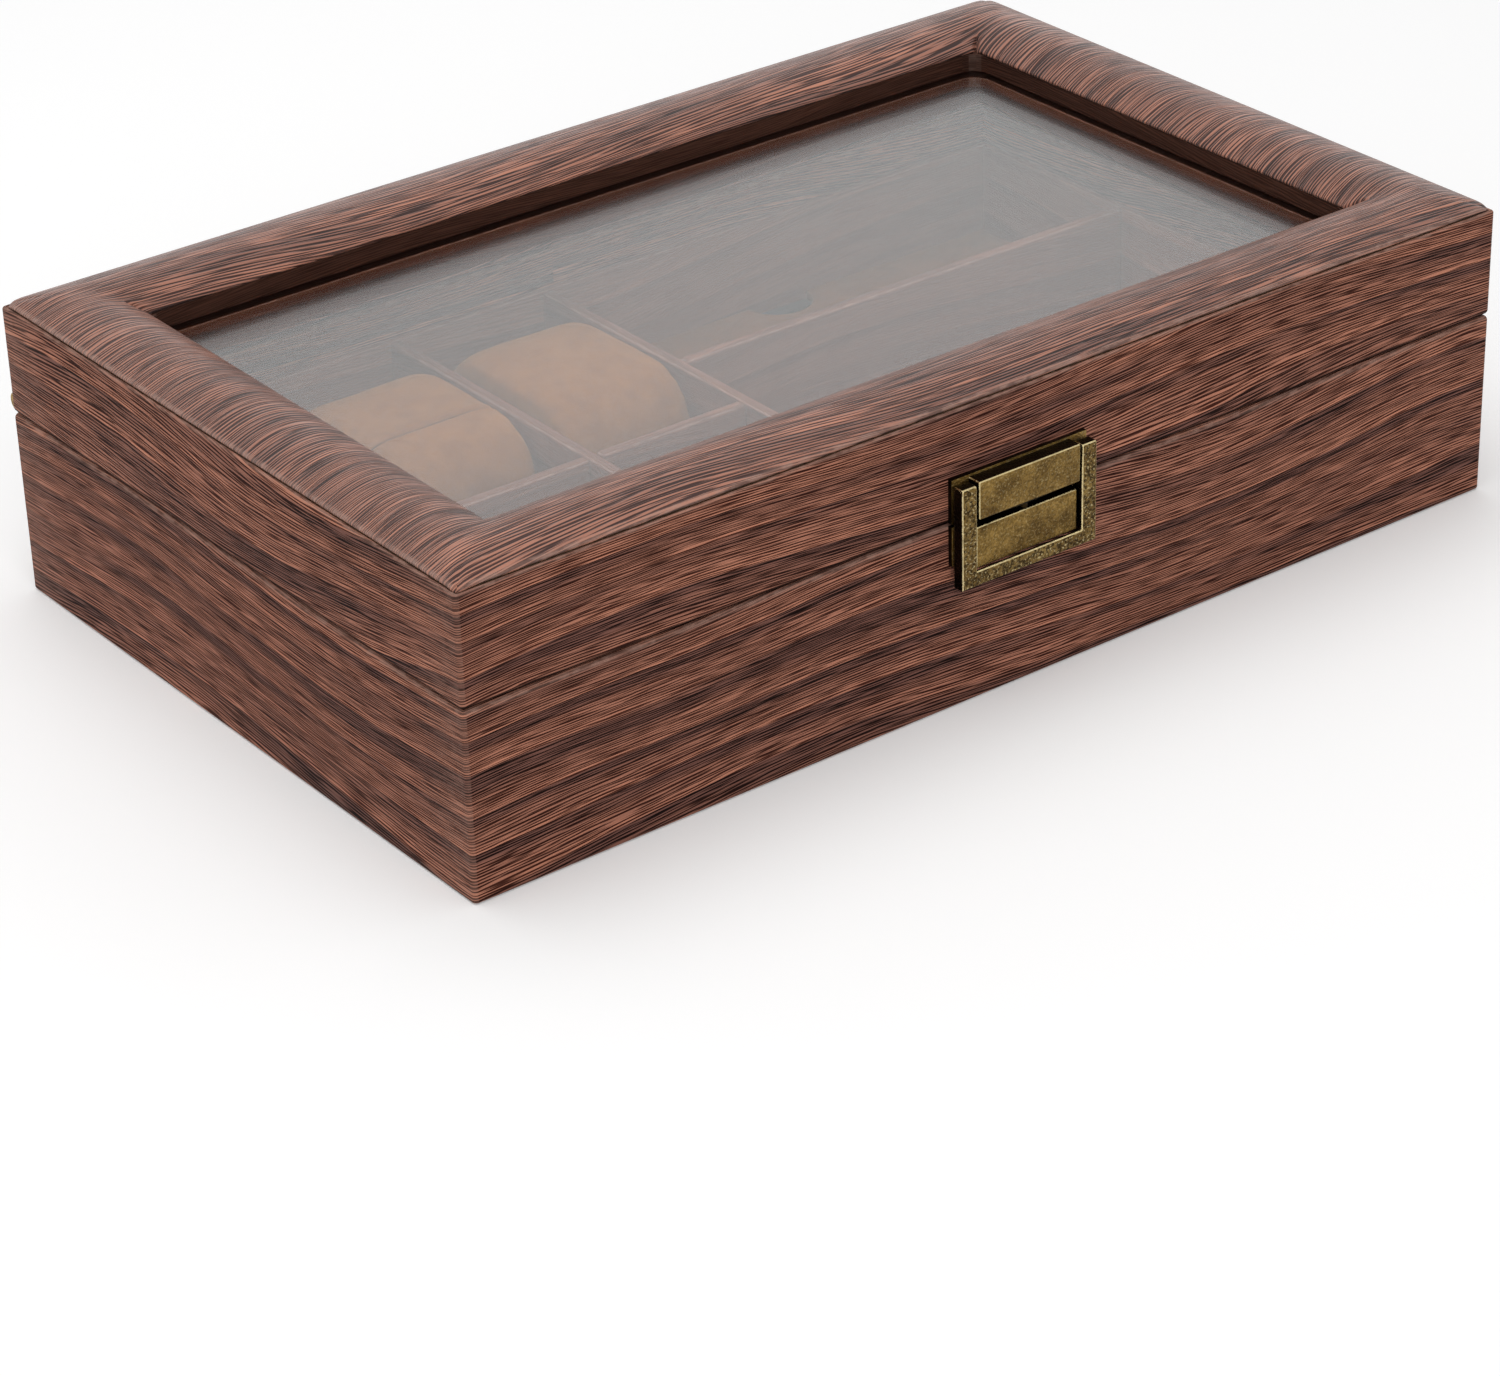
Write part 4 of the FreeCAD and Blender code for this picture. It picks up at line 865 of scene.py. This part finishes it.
def brass_fittings():
    """Latch castings and hinge leaves with their edges eased, worn and given a painted highlight."""
    pin_low, pin_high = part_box("bail_pivot_pins")
    pivot = (pin_low + pin_high) / 2
    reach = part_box("latch_bail")[1].z - pivot.z

    def squared_eye(place):
        """Square up the round eyes at the top of the bail's arms, with soft corners."""
        y, z = place.y - pivot.y, place.z - pivot.z
        far = math.hypot(y, z)
        if z <= 0 or far < 0.9 * reach:
            return place
        grow = far / (abs(y) ** 5 + z ** 5) ** 0.2
        return Vector((place.x, pivot.y + y * grow, pivot.z + z * grow))

    bar_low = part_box("latch_lid_bar")[0]
    block_low, block_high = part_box("latch_base_block")
    close_by, plate_front = 0.7 * MM, block_low.y + 2.2 * MM
    bar_lift, block_drop = Vector((0, 0, 0.9 * MM)), Vector((0, 0, 0.6 * MM))

    def undercut(place):
        """Lift the bar's lower front edge, so that a dark gap shows under it."""
        front_edge = place.z < bar_low.z + close_by and place.y < bar_low.y + close_by
        return place + bar_lift if front_edge else place

    def lowered(place):
        """Lower the block under the bar, in front of its plate, so that the gap below it closes up."""
        end_face = abs(place.z - block_high.z) < close_by or abs(place.z - block_low.z) < close_by
        return place - block_drop if end_face and place.y < plate_front else place

    for node, shape in (("latch_lid_bar", undercut), ("latch_base_block", lowered)):
        piece = eased_copy(node, 0.24 * MM, limit=30, reshape=shape, brushed=True)
        dress(piece, "antique_brass", node)
    bail = eased_copy("latch_bail", 0.22 * MM, limit=30, reshape=squared_eye, brushed=True)
    dress(bail, "antique_brass", "latch_bail", finish="cast brass")
    hinge_parts = [f"hinge_{part}_{side}" for part in ("base_leaf", "lid_leaf", "stay")
                   for side in ("left", "right")]
    for node in (*hinge_parts, "hinge_pins"):
        dress(eased_copy(node, 0.2 * MM, segments=2, limit=40), "hinge_brass", node)


def screw_tree():
    """Geometry nodes: countersunk screws with a cross recess on given places."""
    tree, w, given = new_tree("cross screws", [
        ("Geometry", "Geometry", None), ("Head Radius", "Float", 0.0019), ("Head Depth", "Float", 0.001),
        ("Shank Radius", "Float", 0.0009), ("Length", "Float", 0.007), ("Recess Width", "Float", 0.0005),
        ("Recess Depth", "Float", 0.0006), ("Tilt", "Float", 0.0), ("Seed", "Int", 1),
        ("Finish", "Material", None)])
    m = w.math

    def sunk(mesh, depth):
        """Set a primitive's middle below the head's face."""
        down = w.combine(0.0, 0.0, m("MULTIPLY", depth, -1.0))
        return w.add("GeometryNodeTransform", {"Geometry": mesh, "Translation": down}).outputs[0]

    head = w.add("GeometryNodeMeshCone",
                 {"Vertices": 32, "Radius Top": given["Head Radius"],
                  "Radius Bottom": given["Shank Radius"], "Depth": given["Head Depth"]})
    head = sunk(head.outputs[0], given["Head Depth"])
    shank_length = m("SUBTRACT", given["Length"], given["Head Depth"])
    shank = w.add("GeometryNodeMeshCylinder",
                  {"Vertices": 24, "Radius": given["Shank Radius"], "Depth": shank_length})
    shank = sunk(shank.outputs[0], m("MULTIPLY_ADD", shank_length, 0.5, given["Head Depth"]))
    arm = m("MULTIPLY", given["Head Radius"], 1.15)
    deep = m("MULTIPLY", given["Recess Depth"], 2.0)
    first = w.add("GeometryNodeMeshCube", {"Size": w.combine(arm, given["Recess Width"], deep)}).outputs[0]
    second = w.add("GeometryNodeMeshCube", {"Size": w.combine(given["Recess Width"], arm, deep)}).outputs[0]
    whole = w.add("GeometryNodeMeshBoolean", {"Mesh 1": head}, operation="DIFFERENCE", solver="EXACT")
    for cutter in (first, second):
        tree.links.new(cutter, whole.inputs["Mesh 2"])
    joined = w.add("GeometryNodeJoinGeometry")
    for part in (whole.outputs[0], shank):
        tree.links.new(part, joined.inputs[0])
    turn = w.add("FunctionNodeRandomValue", {"Seed": given["Seed"]}, data_type="FLOAT")
    turn.inputs[3].default_value = math.pi / 2
    aim = w.combine(given["Tilt"], 0.0, turn.outputs[1])
    spots = w.add("GeometryNodeMeshToPoints", {"Mesh": given["Geometry"]}).outputs[0]
    set_out = w.add("GeometryNodeInstanceOnPoints", {"Points": spots, "Instance": joined.outputs[0]})
    tree.links.new(w.add("FunctionNodeEulerToRotation", {0: aim}).outputs[0], set_out.inputs["Rotation"])
    real = w.add("GeometryNodeRealizeInstances", {"Geometry": set_out.outputs[0]}).outputs[0]
    finished = w.add("GeometryNodeSetMaterial", {"Geometry": real, "Material": given["Finish"]}).outputs[0]
    w.add("NodeGroupOutput", {"Geometry": finished})
    return tree


def screw_places(node, level):
    """Middle of each screw of a CAD node, at the level of its head."""
    one_screw = 5 * MM
    places = np.array([vertex.co[:2] for vertex in frame["nodes"][node].data.vertices])
    middles = []
    while len(places):
        near = np.linalg.norm(places - places[0], axis=1) < one_screw
        spot = (places[near].min(0) + places[near].max(0)) / 2
        middles.append((spot[0], spot[1], level))
        places = places[~near]
    return middles


def hinge_screws():
    """Cross-head screws in the hinge leaves of the base and the lid."""
    tree = screw_tree()
    for node, seed in (("hinge_base_screws", 3), ("hinge_lid_screws", 11)):
        low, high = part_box(node)
        up = node == "hinge_base_screws"
        mesh = bpy.data.meshes.new(node)
        mesh.from_pydata(screw_places(node, high.z if up else low.z), [], [])
        piece = new_piece(f"{node}_set", mesh)
        made = piece.modifiers.new("cross screws", "NODES")
        made.node_group = tree
        set_inputs(made, {"Length": high.z - low.z, "Tilt": 0.0 if up else math.pi, "Seed": seed,
                          "Finish": finishes["hinge_brass"]})
        settle(piece)
        smooth(piece.data, 30)
        dress(piece, "hinge_brass", node)


def carried_over():
    """Finishes for the CAD nodes that stay as they are."""
    boards = [f"base_{side}_board" for side in ("front", "back", "left", "right", "floor")]
    boards += [f"lid_{side}_board" for side in ("front", "back", "left", "right", "top")]
    slots = {"board": boards, "underside": ["base_sole"], "card": ["panel_risers"],
             "pane_glass": ["window_pane"],
             "antique_brass": ["latch_peg", "bail_pivot_pins", "latch_base_nails", "latch_lid_nails"]}
    for slot, names in slots.items():
        for name in names:
            node = frame["nodes"][name]
            node.data.materials.clear()
            hidden = name in ("latch_peg", "bail_pivot_pins")
            node.data.materials.append(finishes["dull brass" if hidden else slot])


def seen_rays(wires):
    """One for rays that show the background: straight to the camera, in a reflection or through glass."""
    path = wires.add("ShaderNodeLightPath").outputs
    shown = wires.math("MAXIMUM", path["Is Camera Ray"], path["Is Glossy Ray"])
    return wires.math("MAXIMUM", shown, path["Is Transmission Ray"])


def stage():
    """Pale floor, white surroundings, three soft lamps and the camera at the photograph's angle."""
    floor_glow, plain_level = 0.13, 0.58
    body = bmesh.new()
    bmesh.ops.create_grid(body, x_segments=1, y_segments=1, size=6.0)
    floor = new_piece("floor", finished_mesh(body, "floor"))
    paper, wires, shader = new_finish("white paper")
    fibres = wires.cloud(wires.place(), 900.0, 3.0)
    wires.fill(shader, {
        "Base Color": wires.blend(fibres, tone(246, 246, 246), tone(250, 250, 250)), "Roughness": 0.95,
        "Specular IOR Level": 0.0, "Emission Color": (1.0, 1.0, 1.0, 1.0),
        "Emission Strength": wires.math("MULTIPLY", seen_rays(wires), floor_glow)})
    floor.data.materials.append(paper)

    world = bpy.data.worlds.new("white surroundings")
    bpy.context.scene.world = world
    world.use_nodes = True
    world.node_tree.nodes.clear()
    wires = Wiring(world.node_tree)
    strength = wires.stretch(seen_rays(wires), 0.0, 1.0, plain_level, 1.0)
    sky = wires.add("ShaderNodeBackground", {"Color": (1.0, 1.0, 1.0, 1.0), "Strength": strength})
    wires.add("ShaderNodeOutputWorld", {"Surface": sky.outputs[0]})

    for name, place, aim, size, power in (
            ("overhead softbox", (-0.15, 0.15, 1.15), (0.0, 0.0, 0.06), (1.1, 0.8), 4.8),
            ("back softbox", (1.36, 1.81, 0.98), (0.0, 0.0, 0.08), (2.4, 1.7), 2.0),
            ("front fill", (-0.8, -1.55, 1.1), (0.0, 0.0, 0.04), (1.2, 1.2), 8.0)):
        lamp = bpy.data.lights.new(name, "AREA")
        lamp.shape = "RECTANGLE"
        lamp.size, lamp.size_y = size
        lamp.energy = power
        holder = bpy.data.objects.new(name, lamp)
        bpy.context.scene.collection.objects.link(holder)
        holder.visible_camera = False
        holder.visible_glossy = name != "overhead softbox"
        holder.location = place
        holder.rotation_euler = (Vector(aim) - Vector(place)).to_track_quat("-Z", "Y").to_euler()

    lens = bpy.data.cameras.new("camera")
    lens.lens = 107.1
    lens.sensor_width = 36.0
    lens.clip_start, lens.clip_end = 0.05, 30.0
    camera = bpy.data.objects.new("camera", lens)
    bpy.context.scene.collection.objects.link(camera)
    stand = (-0.61936, -0.82213, 0.53503)
    heading, dip, roll = 36.712, 29.387, -1.750
    aim = (Matrix.Rotation(math.radians(-heading), 4, "Z") @ Matrix.Rotation(math.radians(90 - dip), 4, "X")
           @ Matrix.Rotation(math.radians(roll), 4, "Z"))
    camera.matrix_world = Matrix.Translation(stand) @ aim
    bpy.context.scene.camera = camera
    bpy.context.scene.view_settings.view_transform = "Standard"


case_walls()
padded_roll()
lining_and_dividers()
glasses_floor()
watch_pillows()
brass_fittings()
hinge_screws()
carried_over()
stage()
